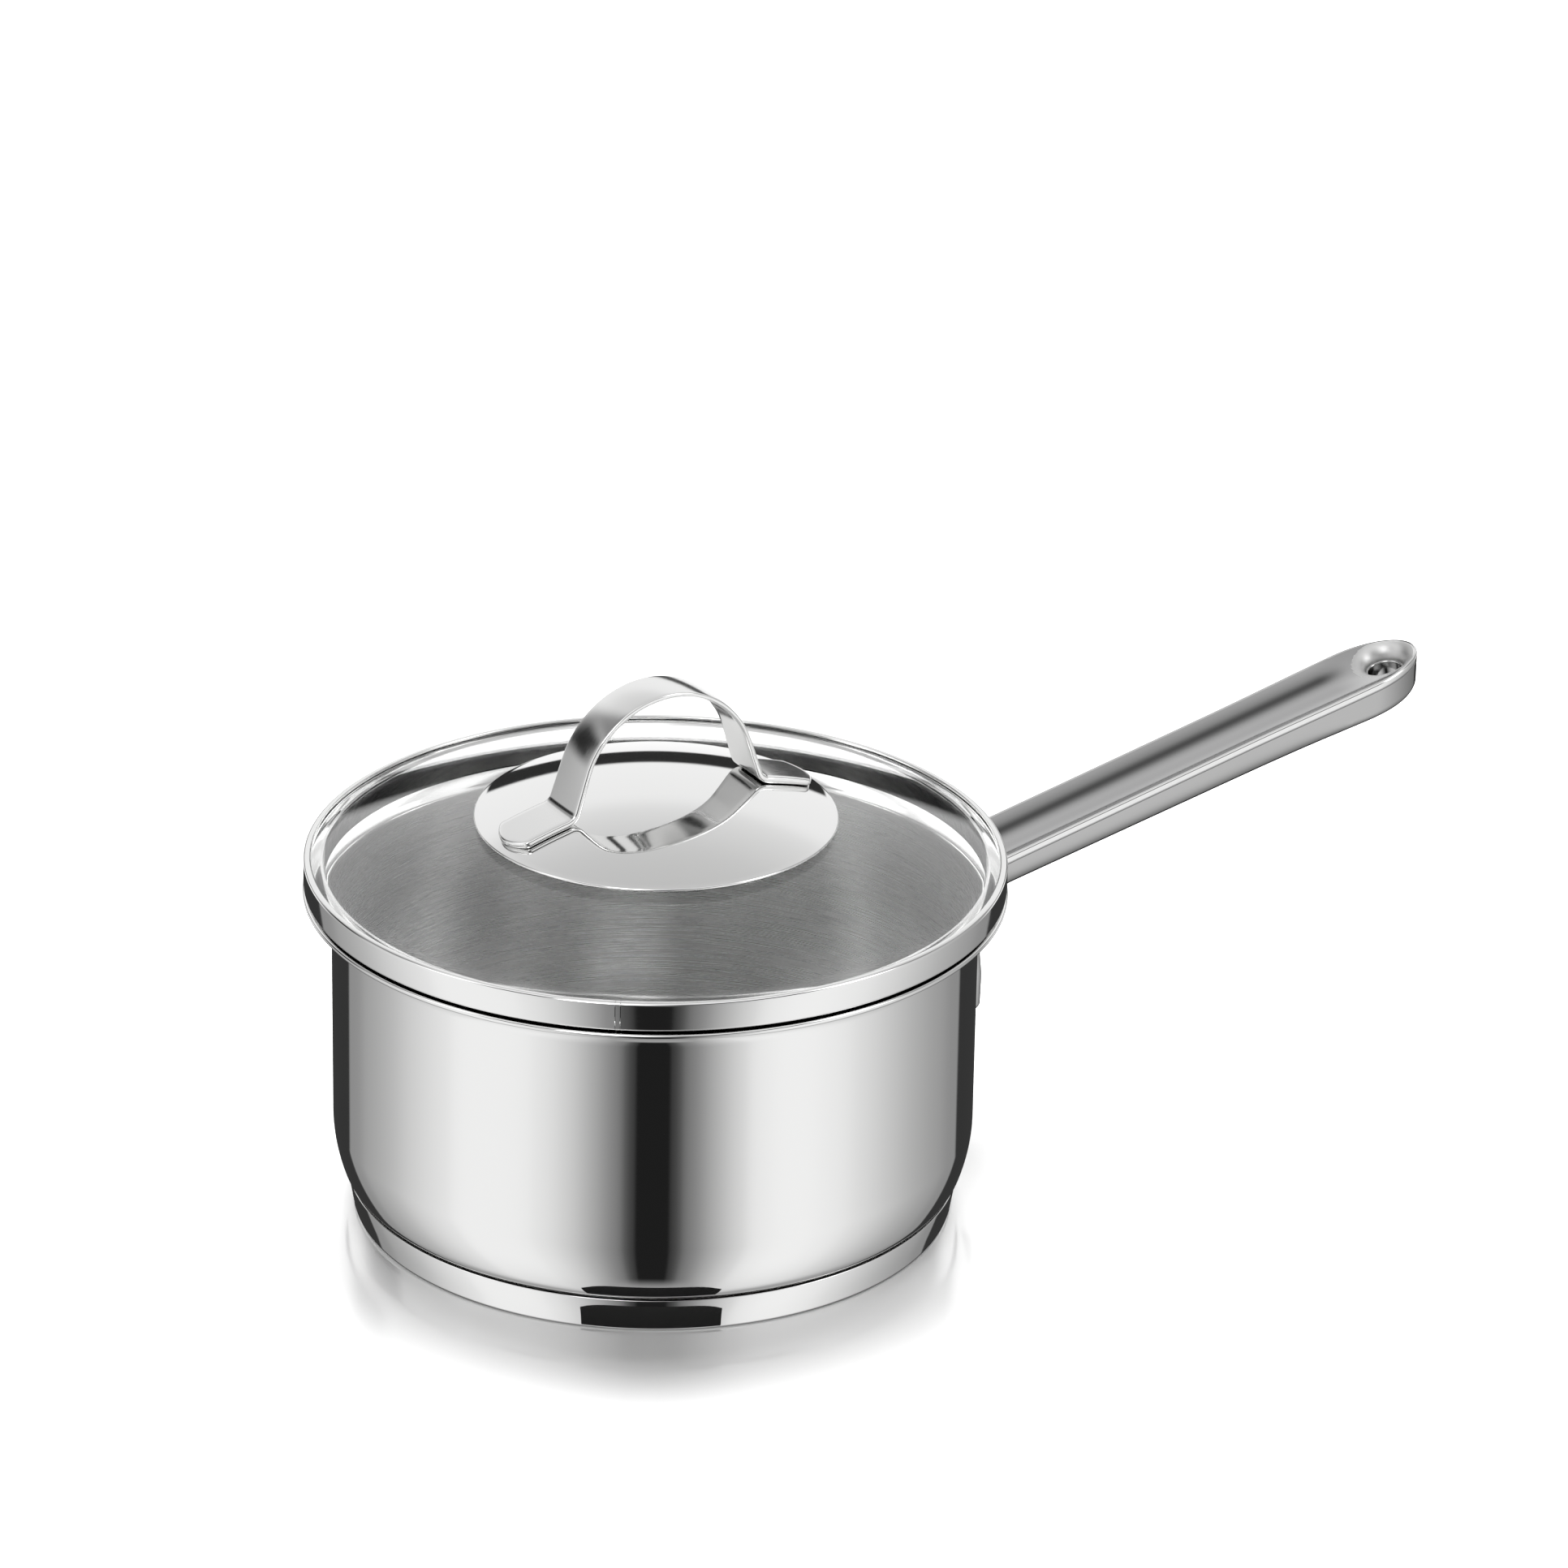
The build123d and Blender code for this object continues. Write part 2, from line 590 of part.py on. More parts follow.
with BuildPart() as dimple_boss:
    with Locations(eye_plane.offset(-BOSS_RING_FOOT)):
        Cylinder(BOSS_RING_R, BOSS_RING_FOOT - BOSS_RING_TOP, align=STAND_UP)
    add(inner_form, mode=Mode.INTERSECT)

with BuildPart() as handle_upper_shell:
    add(outer_form)
    split(bisect_by=seam_plane, keep=Keep.TOP)
    add(inner_form)
    add(trough_bar(TROUGH_R), mode=Mode.SUBTRACT)
    add(under_plate_hollow.part, mode=Mode.SUBTRACT)
    add(dimple_boss.part)
    with Locations(eye_plane.offset(-DIMPLE_DEPTH)):
        Cone(DIMPLE_FLOOR_R, DIMPLE_R, DIMPLE_DEPTH, align=STAND_UP, mode=Mode.SUBTRACT)
    with Locations(eye_plane):
        Cylinder(EYE_R + EYE_SHEET, SIDE_HEADROOM, mode=Mode.SUBTRACT)
    Cylinder(WALL_R + FLANGE_THICK, 2 * END_X, mode=Mode.SUBTRACT)
handle_upper_shell.part.label = "handle_upper_shell"
export_step(handle_upper_shell.part, "parts/handle_upper_shell.step")

with BuildPart() as handle_lower_shell:
    add(outer_form)
    split(bisect_by=seam_plane, keep=Keep.BOTTOM)
    add(inner_form, mode=Mode.SUBTRACT)
    with Locations(eye_plane):
        Cylinder(EYE_R + EYE_SHEET, SIDE_HEADROOM, mode=Mode.SUBTRACT)
    Cylinder(WALL_R + FLANGE_THICK, 2 * END_X, mode=Mode.SUBTRACT)
handle_lower_shell.part.label = "handle_lower_shell"
export_step(handle_lower_shell.part, "parts/handle_lower_shell.step")

with BuildPart() as hanging_eye:
    with Locations(eye_plane.offset(-EYE_FOOT_DEPTH)):
        Cylinder(EYE_R + EYE_SHEET, EYE_FOOT_DEPTH - EYE_TOP_DEPTH, align=STAND_UP)
        Cylinder(EYE_R, EYE_FOOT_DEPTH - EYE_TOP_DEPTH, align=STAND_UP, mode=Mode.SUBTRACT)
hanging_eye.part.label = "hanging_eye"
export_step(hanging_eye.part, "parts/hanging_eye.step")

FLANGE_OUTLINE = (
    (HANDLE_HALF_WIDTH + FLANGE_MARGIN, FLANGE_TOP_Z),
    (HANDLE_HALF_WIDTH + FLANGE_MARGIN, SHOULDER_Z),
    (TONGUE_HALF_WIDTH + FLANGE_MARGIN, WAIST_Z),
    (TONGUE_HALF_WIDTH + FLANGE_MARGIN, TONGUE_FOOT_Z - FLANGE_MARGIN),
)

with BuildPart() as handle_flange:
    with BuildSketch(Plane.YZ):
        with BuildLine():
            Polyline(*mirrored_pair(FLANGE_OUTLINE), close=True)
        plate = make_face()
        fillet(plate.vertices().sort_by(Axis.Z)[:2], TONGUE_HALF_WIDTH)
        fillet(plate.vertices().sort_by(Axis.Z)[-2:], 3 * FLANGE_MARGIN)
    extrude(amount=2 * WALL_R)
    Cylinder(WALL_R + FLANGE_THICK, 2 * FLANGE_TOP_Z, mode=Mode.INTERSECT)
    Cylinder(WALL_R, 2 * FLANGE_TOP_Z, mode=Mode.SUBTRACT)
handle_flange.part.label = "handle_flange"
export_step(handle_flange.part, "parts/handle_flange.step")
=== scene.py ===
import bmesh
import bpy
import math
import numpy as np
from mathutils import Matrix, Vector


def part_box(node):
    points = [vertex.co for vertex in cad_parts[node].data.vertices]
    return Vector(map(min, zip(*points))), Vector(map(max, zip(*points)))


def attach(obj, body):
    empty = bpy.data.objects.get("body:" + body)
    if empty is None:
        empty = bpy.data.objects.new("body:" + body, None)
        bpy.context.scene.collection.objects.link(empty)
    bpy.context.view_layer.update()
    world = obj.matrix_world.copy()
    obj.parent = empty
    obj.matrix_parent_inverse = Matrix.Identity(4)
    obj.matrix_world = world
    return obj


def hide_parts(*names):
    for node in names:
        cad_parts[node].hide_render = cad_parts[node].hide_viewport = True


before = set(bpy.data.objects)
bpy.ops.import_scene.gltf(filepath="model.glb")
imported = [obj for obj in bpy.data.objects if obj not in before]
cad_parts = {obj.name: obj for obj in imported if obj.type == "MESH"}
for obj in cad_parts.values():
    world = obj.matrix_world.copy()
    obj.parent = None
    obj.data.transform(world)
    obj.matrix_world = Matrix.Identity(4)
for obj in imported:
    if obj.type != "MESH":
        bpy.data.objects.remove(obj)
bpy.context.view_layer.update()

# Lengths are in millimetres in the part's own frame and go to metres as the meshes are made.
MM = 0.001
HALF_PI = math.pi / 2
RIM_SLOPE = 0.2228


def box_mm(node):
    """Lowest and highest corner of a CAD node, in millimetres."""
    low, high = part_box(node)
    return low / MM, high / MM


def arc(centre, radius, start, end, steps=12):
    """Points on an arc in a plane, with the angles in degrees."""
    angles = np.radians(np.linspace(start, end, steps + 1))
    return [(centre[0] + radius * math.cos(a), centre[1] + radius * math.sin(a)) for a in angles]


def smooth(t):
    t = min(max(t, 0.0), 1.0)
    return t * t * (3 - 2 * t)


# ---- materials ----------------------------------------------------------------------------------

class Nodes:
    """A short way to build a node tree."""

    def __init__(self, name):
        self.material = bpy.data.materials.new(name)
        self.material.use_nodes = True
        self.tree = self.material.node_tree
        self.shader = self.tree.nodes["Principled BSDF"]

    def add(self, kind, **values):
        node = self.tree.nodes.new(kind)
        for key, value in values.items():
            if hasattr(node, key):
                setattr(node, key, value)
            else:
                node.inputs[key.replace("_", " ")].default_value = value
        return node

    def link(self, a, b):
        self.tree.links.new(a, b)

    def set(self, **values):
        for key, value in values.items():
            self.shader.inputs[key.replace("_", " ")].default_value = value

    def math(self, operation, a, b=None):
        node = self.tree.nodes.new("ShaderNodeMath")
        node.operation = operation
        for socket, value in zip(node.inputs, (a, b)):
            if value is None:
                continue
            if isinstance(value, (int, float)):
                socket.default_value = value
            else:
                self.link(value, socket)
        return node.outputs[0]

    def around_axis(self, turn_scale, radius_scale, height_scale):
        """Coordinates stretched around the pot's axis, for turned and brushed marks."""
        where = self.add("ShaderNodeTexCoord").outputs["Object"]
        split = self.tree.nodes.new("ShaderNodeSeparateXYZ")
        self.link(where, split.inputs[0])
        x, y, z = split.outputs
        turn = self.math("ARCTAN2", y, x)
        squares = [self.math("MULTIPLY", axis, axis) for axis in (x, y)]
        radius = self.math("SQRT", self.math("ADD", *squares))
        join = self.tree.nodes.new("ShaderNodeCombineXYZ")
        self.link(self.math("MULTIPLY", turn, turn_scale), join.inputs[0])
        self.link(self.math("MULTIPLY", radius, radius_scale), join.inputs[1])
        self.link(self.math("MULTIPLY", z, height_scale), join.inputs[2])
        return join.outputs[0]

    def stretched(self, scale, turn=(0, 0, 0)):
        """Object coordinates stretched along one direction."""
        where = self.add("ShaderNodeTexCoord").outputs["Object"]
        mapping = self.tree.nodes.new("ShaderNodeMapping")
        mapping.inputs["Scale"].default_value = scale
        mapping.inputs["Rotation"].default_value = turn
        self.link(where, mapping.inputs["Vector"])
        return mapping.outputs[0]

    def noise(self, vector, scale=1.0, detail=3.0, roughness=0.55):
        node = self.add("ShaderNodeTexNoise", Scale=scale, Detail=detail, Roughness=roughness)
        self.link(vector, node.inputs["Vector"])
        return node.outputs["Fac"]

    def ranged(self, value, low, high):
        node = self.add("ShaderNodeMapRange", From_Min=0.3, From_Max=0.7, To_Min=low, To_Max=high)
        self.link(value, node.inputs["Value"])
        return node.outputs[0]

    def bump(self, height, strength, distance):
        node = self.add("ShaderNodeBump", Strength=strength, Distance=distance)
        self.link(height, node.inputs["Height"])
        self.link(node.outputs[0], self.shader.inputs["Normal"])


def steel(name, grey, rough_low, rough_high, marks, bump=0.0):
    """Stainless steel whose roughness follows its polishing marks."""
    nodes = Nodes(name)
    nodes.set(Base_Color=(grey, grey, grey * 0.995, 1), Metallic=1.0)
    vector = marks(nodes)
    grain = nodes.noise(vector)
    nodes.link(nodes.ranged(grain, rough_low, rough_high), nodes.shader.inputs["Roughness"])
    if bump:
        nodes.bump(grain, bump, 0.00003)
    return nodes.material


def turned(nodes):
    """Marks that run round the pot's axis."""
    return nodes.around_axis(3.0, 2600.0, 2600.0)


def lengthwise(nodes):
    """Marks that run along the handle, which slopes up to its tip."""
    return nodes.stretched((40.0, 2400.0, 2400.0), (0, math.atan(RIM_SLOPE), 0))


polished = steel("polished_steel", 0.80, 0.030, 0.055, turned)
polished_bow = steel("polished_bow", 0.80, 0.11, 0.16,
                     lambda nodes: nodes.stretched((300.0, 2200.0, 300.0)))
# Painted shade: the handle's steel and its trough get a darker grey than the pot's polished steel,
# standing in for the dimmer light the handle mirrors.
handle_steel_painted_dark = steel("handle_steel_painted_dark", 0.46, 0.10, 0.15, lengthwise)
handle_rim_steel = steel("handle_rim_steel", 0.78, 0.06, 0.10, lengthwise)
dimple_steel = steel("handle_dimple_steel", 0.62, 0.40, 0.46, lengthwise)
trough_steel = steel("handle_trough_steel", 0.50, 0.10, 0.15, lengthwise)

# Painted reflection: the trough's base colour is painted in lanes across its width, a dark streak past the
# middle and a lighter one beside it, standing in for the studio mirrored in the trough. Near the tip they
# fade into one even grey. Lengths here are in metres.
PAINTED_REFLECTION_HALF_WIDTH = 0.0107
PAINTED_REFLECTION_FADE_X = (0.203, 0.214)
TIP_GREY = 0.50
PAINTED_REFLECTION_STOPS = [(0.00, 0.50), (0.14, 0.40), (0.30, 0.31), (0.42, 0.36), (0.50, 0.44), (0.57, 0.38), (0.63, 0.20),
         (0.69, 0.07), (0.745, 0.12), (0.81, 0.36), (0.89, 0.48), (1.00, 0.66)]
trough_tree = trough_steel.node_tree
new_node, connect = trough_tree.nodes.new, trough_tree.links.new
# Painted reflection: a ramp of greys across the trough's width feeds its base colour.
painted_reflection_ramp = new_node("ShaderNodeValToRGB")
across_split = new_node("ShaderNodeSeparateXYZ")
across_range = new_node("ShaderNodeMapRange")
across_range.inputs["From Min"].default_value = -PAINTED_REFLECTION_HALF_WIDTH
across_range.inputs["From Max"].default_value = PAINTED_REFLECTION_HALF_WIDTH
connect(new_node("ShaderNodeTexCoord").outputs["Object"], across_split.inputs[0])
connect(across_split.outputs["Y"], across_range.inputs["Value"])
connect(across_range.outputs[0], painted_reflection_ramp.inputs[0])
painted_reflection_ramp.color_ramp.interpolation = "B_SPLINE"
while len(painted_reflection_ramp.color_ramp.elements) < len(PAINTED_REFLECTION_STOPS):
    painted_reflection_ramp.color_ramp.elements.new(0.5)
for element, (at, grey) in zip(painted_reflection_ramp.color_ramp.elements, PAINTED_REFLECTION_STOPS):
    element.position = at
    element.color = (grey, grey, grey, 1)
tip_fade = new_node("ShaderNodeMapRange")
tip_fade.interpolation_type = "SMOOTHSTEP"
tip_fade.inputs["From Min"].default_value = PAINTED_REFLECTION_FADE_X[0]
tip_fade.inputs["From Max"].default_value = PAINTED_REFLECTION_FADE_X[1]
connect(across_split.outputs["X"], tip_fade.inputs["Value"])
painted_reflection_mix = new_node("ShaderNodeMix")
painted_reflection_mix.data_type = "RGBA"
painted_reflection_mix.inputs[7].default_value = (TIP_GREY, TIP_GREY, TIP_GREY, 1)
connect(tip_fade.outputs[0], painted_reflection_mix.inputs[0])
connect(painted_reflection_ramp.outputs[0], painted_reflection_mix.inputs[6])
connect(painted_reflection_mix.outputs[2], trough_tree.nodes["Principled BSDF"].inputs["Base Color"])
rim_steel = steel("rolled_rim_steel", 0.80, 0.05, 0.08, turned)
plain_steel = steel("plain_steel", 0.70, 0.18, 0.26, lambda nodes: nodes.stretched((900.0, 900.0, 900.0)))
base_steel = steel("turned_base_steel", 0.72, 0.24, 0.34, turned, bump=0.25)

satin = steel("satin_inside", 0.54, 0.25, 0.30, turned, bump=0.16)
satin_tree = satin.node_tree
satin_shader = satin_tree.nodes["Principled BSDF"]
satin_shader.inputs["Anisotropic"].default_value = 0.85
satin_shader.inputs["Anisotropic Rotation"].default_value = 0.25
tangent = satin_tree.nodes.new("ShaderNodeTangent")
tangent.direction_type = "RADIAL"
tangent.axis = "Z"
satin_tree.links.new(tangent.outputs[0], satin_shader.inputs["Tangent"])

glass_nodes = Nodes("tempered_glass")
glass_nodes.set(Base_Color=(0.99, 0.992, 0.991, 1), Roughness=0.0, IOR=1.50, Transmission_Weight=1.0)
glass = glass_nodes.material

silicone_nodes = Nodes("silicone")
silicone_nodes.set(Base_Color=(0.78, 0.78, 0.76, 1), Subsurface_Weight=0.25, Subsurface_Scale=0.002)
silicone_grain = silicone_nodes.noise(silicone_nodes.stretched((700.0, 700.0, 700.0)))
silicone_rough = silicone_nodes.ranged(silicone_grain, 0.42, 0.55)
silicone_nodes.link(silicone_rough, silicone_nodes.shader.inputs["Roughness"])
silicone = silicone_nodes.material

aluminium = steel("plain_aluminium", 0.77, 0.30, 0.42,
                  lambda nodes: nodes.stretched((300.0, 300.0, 300.0)), bump=0.2)


# ---- mesh helpers -------------------------------------------------------------------------------

def piece(name, points, faces, materials, body, replaced, indices=None, sharp=35.0):
    """A mesh in millimetres becomes a named piece that rides on a body."""
    mesh = bpy.data.meshes.new(name)
    mesh.from_pydata([tuple(c * MM for c in p) for p in points], [], faces)
    for material in materials:
        mesh.materials.append(material)
    if indices is not None:
        mesh.polygons.foreach_set("material_index", indices)
    mesh.validate()
    mesh.update()
    mesh.shade_smooth()
    mesh.set_sharp_from_angle(angle=math.radians(sharp))
    obj = bpy.data.objects.new(name, mesh)
    bpy.context.scene.collection.objects.link(obj)
    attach(obj, body)
    if replaced:
        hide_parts(*replaced)
    return obj


def lathe(profile, segments=288, start=0.0, sweep=360.0):
    """Points and faces of a closed profile of (radius, height) turned about Z."""
    full = abs(sweep - 360.0) < 1e-6
    rows = segments if full else segments + 1
    count = len(profile)
    points, faces = [], []
    for i in range(rows):
        angle = math.radians(start + sweep * i / segments)
        points += [(r * math.cos(angle), r * math.sin(angle), z) for r, z in profile]
    for i in range(segments):
        a, b = i * count, ((i + 1) % rows) * count
        for j in range(count):
            k = (j + 1) % count
            on_axis = profile[j][0] < 1e-6, profile[k][0] < 1e-6
            if all(on_axis):
                continue
            if on_axis[0]:
                faces.append((a + j, b + k, a + k))
            elif on_axis[1]:
                faces.append((a + j, b + j, a + k))
            else:
                faces.append((a + j, b + j, b + k, a + k))
    if not full:
        faces.append(tuple(range(count)))
        faces.append(tuple(reversed(range(segments * count, (segments + 1) * count))))
    return points, faces


def merge(obj, distance=0.0005):
    """Joins vertices of a piece that are in the same place. The distance is in millimetres."""
    work = bmesh.new()
    work.from_mesh(obj.data)
    bmesh.ops.remove_doubles(work, verts=work.verts, dist=distance * MM)
    work.to_mesh(obj.data)
    work.free()
    return obj


# ---- vessel -------------------------------------------------------------------------------------

vessel_low, vessel_high = box_mm("vessel")
LIP_R = vessel_high.y
LIP_TOP_Z = vessel_high.z
BOTTOM_Z = vessel_low.z
WALL_R = 81.0
SHEET = 0.8
BELLY_R = 39.0
BELLY_Z = 25.0
CORNER_R = 7.0
FLARE_R = 6.0
LIP_ROUND = 0.7
FLARE_Z = LIP_TOP_Z - SHEET - FLARE_R
FLARE = (WALL_R + FLARE_R, FLARE_Z)
BELLY = (WALL_R - BELLY_R, BELLY_Z)
CORNER = (BELLY[0] + math.sqrt((BELLY_R - CORNER_R) ** 2 - (BELLY_Z - BOTTOM_Z - CORNER_R) ** 2),
          BOTTOM_Z + CORNER_R)
TURN = math.degrees(math.atan2(CORNER[1] - BELLY[1], CORNER[0] - BELLY[0]))
LIP = (LIP_R - LIP_ROUND, LIP_TOP_Z - LIP_ROUND)
POLISHED_FOOT_Z = 79.0

outside = [(0, BOTTOM_Z), (30, BOTTOM_Z), (60, BOTTOM_Z)]
outside += arc(CORNER, CORNER_R, -90, TURN, 14) + arc(BELLY, BELLY_R, TURN, 0, 20)[1:]
outside += arc(FLARE, FLARE_R, 180, 110, 16)
outside += arc(LIP, LIP_ROUND, -90, 90, 10)
flare_inside = arc(FLARE, FLARE_R + SHEET, 90, 180, 18)
inside = [(WALL_R - SHEET, POLISHED_FOOT_Z)] + arc(BELLY, BELLY_R - SHEET, 0, TURN, 20)
inside += arc(CORNER, CORNER_R - SHEET, TURN, -90, 14)[1:]
inside += [(60, BOTTOM_Z + SHEET), (30, BOTTOM_Z + SHEET), (0, BOTTOM_Z + SHEET)]
profile = outside + flare_inside + inside
points, faces = lathe(profile)
first_inside = len(outside) + len(flare_inside)
indices = []
for face in faces:
    row = min(v % len(profile) for v in face)
    indices.append(1 if row >= first_inside else 0)
piece("pan_vessel", points, faces, [polished, satin], "pot", ["vessel"], indices)


# ---- capsule base -------------------------------------------------------------------------------

cap_high = box_mm("base_cap")[1]
CAP_TOP_R = cap_high.y
CAP_TOP_Z = cap_high.z
CAP_TAPER = 1.55
CAP_FOOT_R = CAP_TOP_R - CAP_TAPER
CAP_SHEET = 0.8
CAP_TOP_ROUND = 0.15
lean = math.degrees(math.atan2(CAP_TOP_R - CAP_FOOT_R, CAP_TOP_Z))


def cap_r(z):
    """Outer radius of the leaning side of the base at a height."""
    return CAP_FOOT_R + (CAP_TOP_R - CAP_FOOT_R) * z / CAP_TOP_Z


FOOT_ROUND = 1.2
RING_R = 66.0
underside = [(0, 0), (20, 0), (40, 0), (RING_R - 0.6, 0), (RING_R, 0.25), (RING_R + 0.6, 0), (72, 0)]
profile = list(underside)
profile += arc((cap_r(FOOT_ROUND) - FOOT_ROUND, FOOT_ROUND), FOOT_ROUND, -90, -lean, 10)
profile += [(cap_r(4.0), 4.0)]
round_z = CAP_TOP_Z - CAP_TOP_ROUND
profile += arc((cap_r(round_z) - CAP_TOP_ROUND, round_z), CAP_TOP_ROUND, -lean, 180, 8)
profile += [(cap_r(CAP_SHEET) - CAP_SHEET, CAP_SHEET), (0, CAP_SHEET)]
points, faces = lathe(profile)
indices = [1 if min(v % len(profile) for v in face) < len(underside) else 0 for face in faces]
piece("pan_base", points, faces, [polished, base_steel], "pot", ["base_cap"], indices)


# ---- lid glass ----------------------------------------------------------------------------------

glass_high = box_mm("lid_glass")[1]
GLASS_EDGE_R = glass_high.y
GLASS_HOLE_R = 5.5
GLASS_R = 255.0
GLASS_THICK = 4.0
GLASS_TOP_Z = glass_high.z + GLASS_R - math.sqrt(GLASS_R**2 - GLASS_HOLE_R**2)
GLASS_ROUND = 1.5
GLASS_CENTRE_Z = GLASS_TOP_Z - GLASS_R


def dome(radius, centre_z, r):
    """A point of a sphere's outline at a distance from the axis."""
    return (r, centre_z + math.sqrt(radius**2 - r**2))


flat_r = GLASS_EDGE_R - GLASS_ROUND
upper = [dome(GLASS_R, GLASS_CENTRE_Z, r) for r in np.linspace(flat_r, GLASS_HOLE_R, 30)]
lower = [dome(GLASS_R - GLASS_THICK, GLASS_CENTRE_Z, r) for r in np.linspace(GLASS_HOLE_R, flat_r, 30)]
high_corner = (flat_r, upper[0][1] - GLASS_ROUND)
low_corner = (flat_r, lower[-1][1] + GLASS_ROUND)
profile = lower + arc(low_corner, GLASS_ROUND, -90, 0, 8)[1:]
profile += arc(high_corner, GLASS_ROUND, 0, 90, 8)[:-1] + upper
points, faces = lathe(profile)
piece("lid_glass_dome", points, faces, [glass], "lid", ["lid_glass"])


# ---- rolled band of the lid ---------------------------------------------------------------------

band_high = box_mm("lid_rim_band")[1]
BAND_R = band_high.y
BAND_TOP_Z = band_high.z
BAND_FOOT_Z = 87.0
BAND_SHEET = 0.7
BAND_ROLL = 0.85
BAND_FLAT_FOOT = 3.7
BAND_LIP_ROUND = 0.3
BAND_LIP_R = 86.2
BAND_LEG_R = 82.2
BAND_LEG_TOP_Z = 90.45
SEAT_R = FLARE_R + SHEET + 0.35
SEAT_OUTER_R = 86.0
SEAM_ANGLE = -125.7
SEAM_GAP = 0.16
SEAM_STRIP = 1.1


def seat(radius, r):
    """A point on the band's seat, which follows the flare, at a given distance from the axis."""
    return (r, FLARE[1] + math.sqrt(radius**2 - (r - FLARE[0]) ** 2))


profile = [(BAND_LIP_R, BAND_TOP_Z - BAND_LIP_ROUND)]
profile += arc((BAND_LIP_R + BAND_LIP_ROUND, BAND_TOP_Z - BAND_LIP_ROUND), BAND_LIP_ROUND, 180, 90, 4)
profile += arc((BAND_R - BAND_ROLL, BAND_TOP_Z - BAND_ROLL), BAND_ROLL, 90, 0, 10)
profile += [(BAND_R, BAND_TOP_Z - BAND_FLAT_FOOT)]
profile += arc((BAND_R - BAND_ROLL, BAND_FOOT_Z + BAND_ROLL), BAND_ROLL, 0, -90, 10)
profile += [seat(SEAT_R, r) for r in np.linspace(SEAT_OUTER_R, BAND_LEG_R, 12)]
profile += [(BAND_LEG_R, BAND_LEG_TOP_Z), (BAND_LEG_R + BAND_SHEET, BAND_LEG_TOP_Z)]
profile += [seat(SEAT_R + BAND_SHEET, r)
            for r in np.linspace(BAND_LEG_R + BAND_SHEET, SEAT_OUTER_R, 12)]
profile += [(BAND_R - BAND_SHEET, BAND_FOOT_Z + 1.5), (BAND_R - BAND_SHEET, BAND_TOP_Z - BAND_SHEET)]
profile += [(BAND_LIP_R, BAND_TOP_Z - BAND_SHEET)]

# The band is one long strip whose ends meet at a seam, with a short joining strip between them.
degrees_per_mm = 360.0 / (2 * math.pi * BAND_R)
gap = SEAM_GAP * degrees_per_mm
strip = SEAM_STRIP * degrees_per_mm
points, faces = lathe(profile, 287, SEAM_ANGLE + strip / 2 + gap, 360.0 - strip - 2 * gap)
more_points, more_faces = lathe(profile, 2, SEAM_ANGLE - strip / 2, strip)
faces += [tuple(v + len(points) for v in face) for face in more_faces]
points += more_points
piece("lid_band", points, faces, [rim_steel], "lid", ["lid_rim_band"])


# ---- domed disc ---------------------------------------------------------------------------------

disc_low, disc_high = box_mm("lid_disc")
DISC_R = disc_high.y
DISC_TOP_Z = disc_high.z
DISC_DOME_R = 133.4
DISC_CENTRE_Z = DISC_TOP_Z - DISC_DOME_R
DISC_SHEET = 0.6
DISC_ROUND = 0.45
DISC_FOOT_Z = disc_low.z + 0.1
DISC_HEM = 0.9
round_r = DISC_R - DISC_ROUND
tilt = math.degrees(math.asin(round_r / DISC_DOME_R))
edge_centre_z = DISC_CENTRE_Z + (DISC_DOME_R - DISC_ROUND) * math.cos(math.radians(tilt))
profile = [dome(DISC_DOME_R, DISC_CENTRE_Z, r) for r in np.linspace(0, round_r - 0.2, 40)]
profile += arc((round_r, edge_centre_z), DISC_ROUND, 90 - tilt, 0, 6)
profile += [(DISC_R, DISC_FOOT_Z), (DISC_R - DISC_HEM, DISC_FOOT_Z)]
profile += [dome(DISC_DOME_R - DISC_SHEET, DISC_CENTRE_Z, r)
            for r in np.linspace(DISC_R - DISC_HEM, 0, 12)]
points, faces = lathe(profile)
merge(piece("lid_disc_cap", points, faces, [polished], "lid", ["lid_disc"]))


# ---- bow of the lid -----------------------------------------------------------------------------

bow_high = box_mm("lid_bow")[1]
BOW_THICK = 1.8
BOW_ARCH_R = 25.0
BOW_ARCH_Z = bow_high.z - BOW_ARCH_R
BOW_LEG_ANGLE = 18.0
BOW_HALF_WIDTH = 6.4
BOW_FOOT_HALF_WIDTH = bow_high.y
BOW_FOOT_END_X = bow_high.x
BOW_FOOT_CORNER_X = 40.3
BOW_EDGE = 0.72
BOW_CROWN = 0.5
BEND_R = 3.6
WIDEN_X = 21.0
WIDEN_LENGTH = 9.0
mid_arch = BOW_ARCH_R - BOW_THICK / 2
mid_foot = DISC_DOME_R + BOW_THICK / 2
leg_turn = math.radians(BOW_LEG_ANGLE)
run = np.array([math.sin(leg_turn), -math.cos(leg_turn)])
beside = np.array([math.cos(leg_turn), math.sin(leg_turn)])
shoulder = np.array([mid_arch * math.cos(leg_turn), BOW_ARCH_Z + mid_arch * math.sin(leg_turn)])
dome_centre = np.array([0.0, DISC_CENTRE_Z])
offset = shoulder + beside * BEND_R - dome_centre
along = offset @ run
reach = -along - math.sqrt(along**2 - (offset @ offset - (mid_foot + BEND_R) ** 2))
bend_centre = dome_centre + offset + run * reach
leg_end = bend_centre - beside * BEND_R
to_centre = bend_centre - dome_centre
foot_start_angle = math.atan2(to_centre[1], to_centre[0])


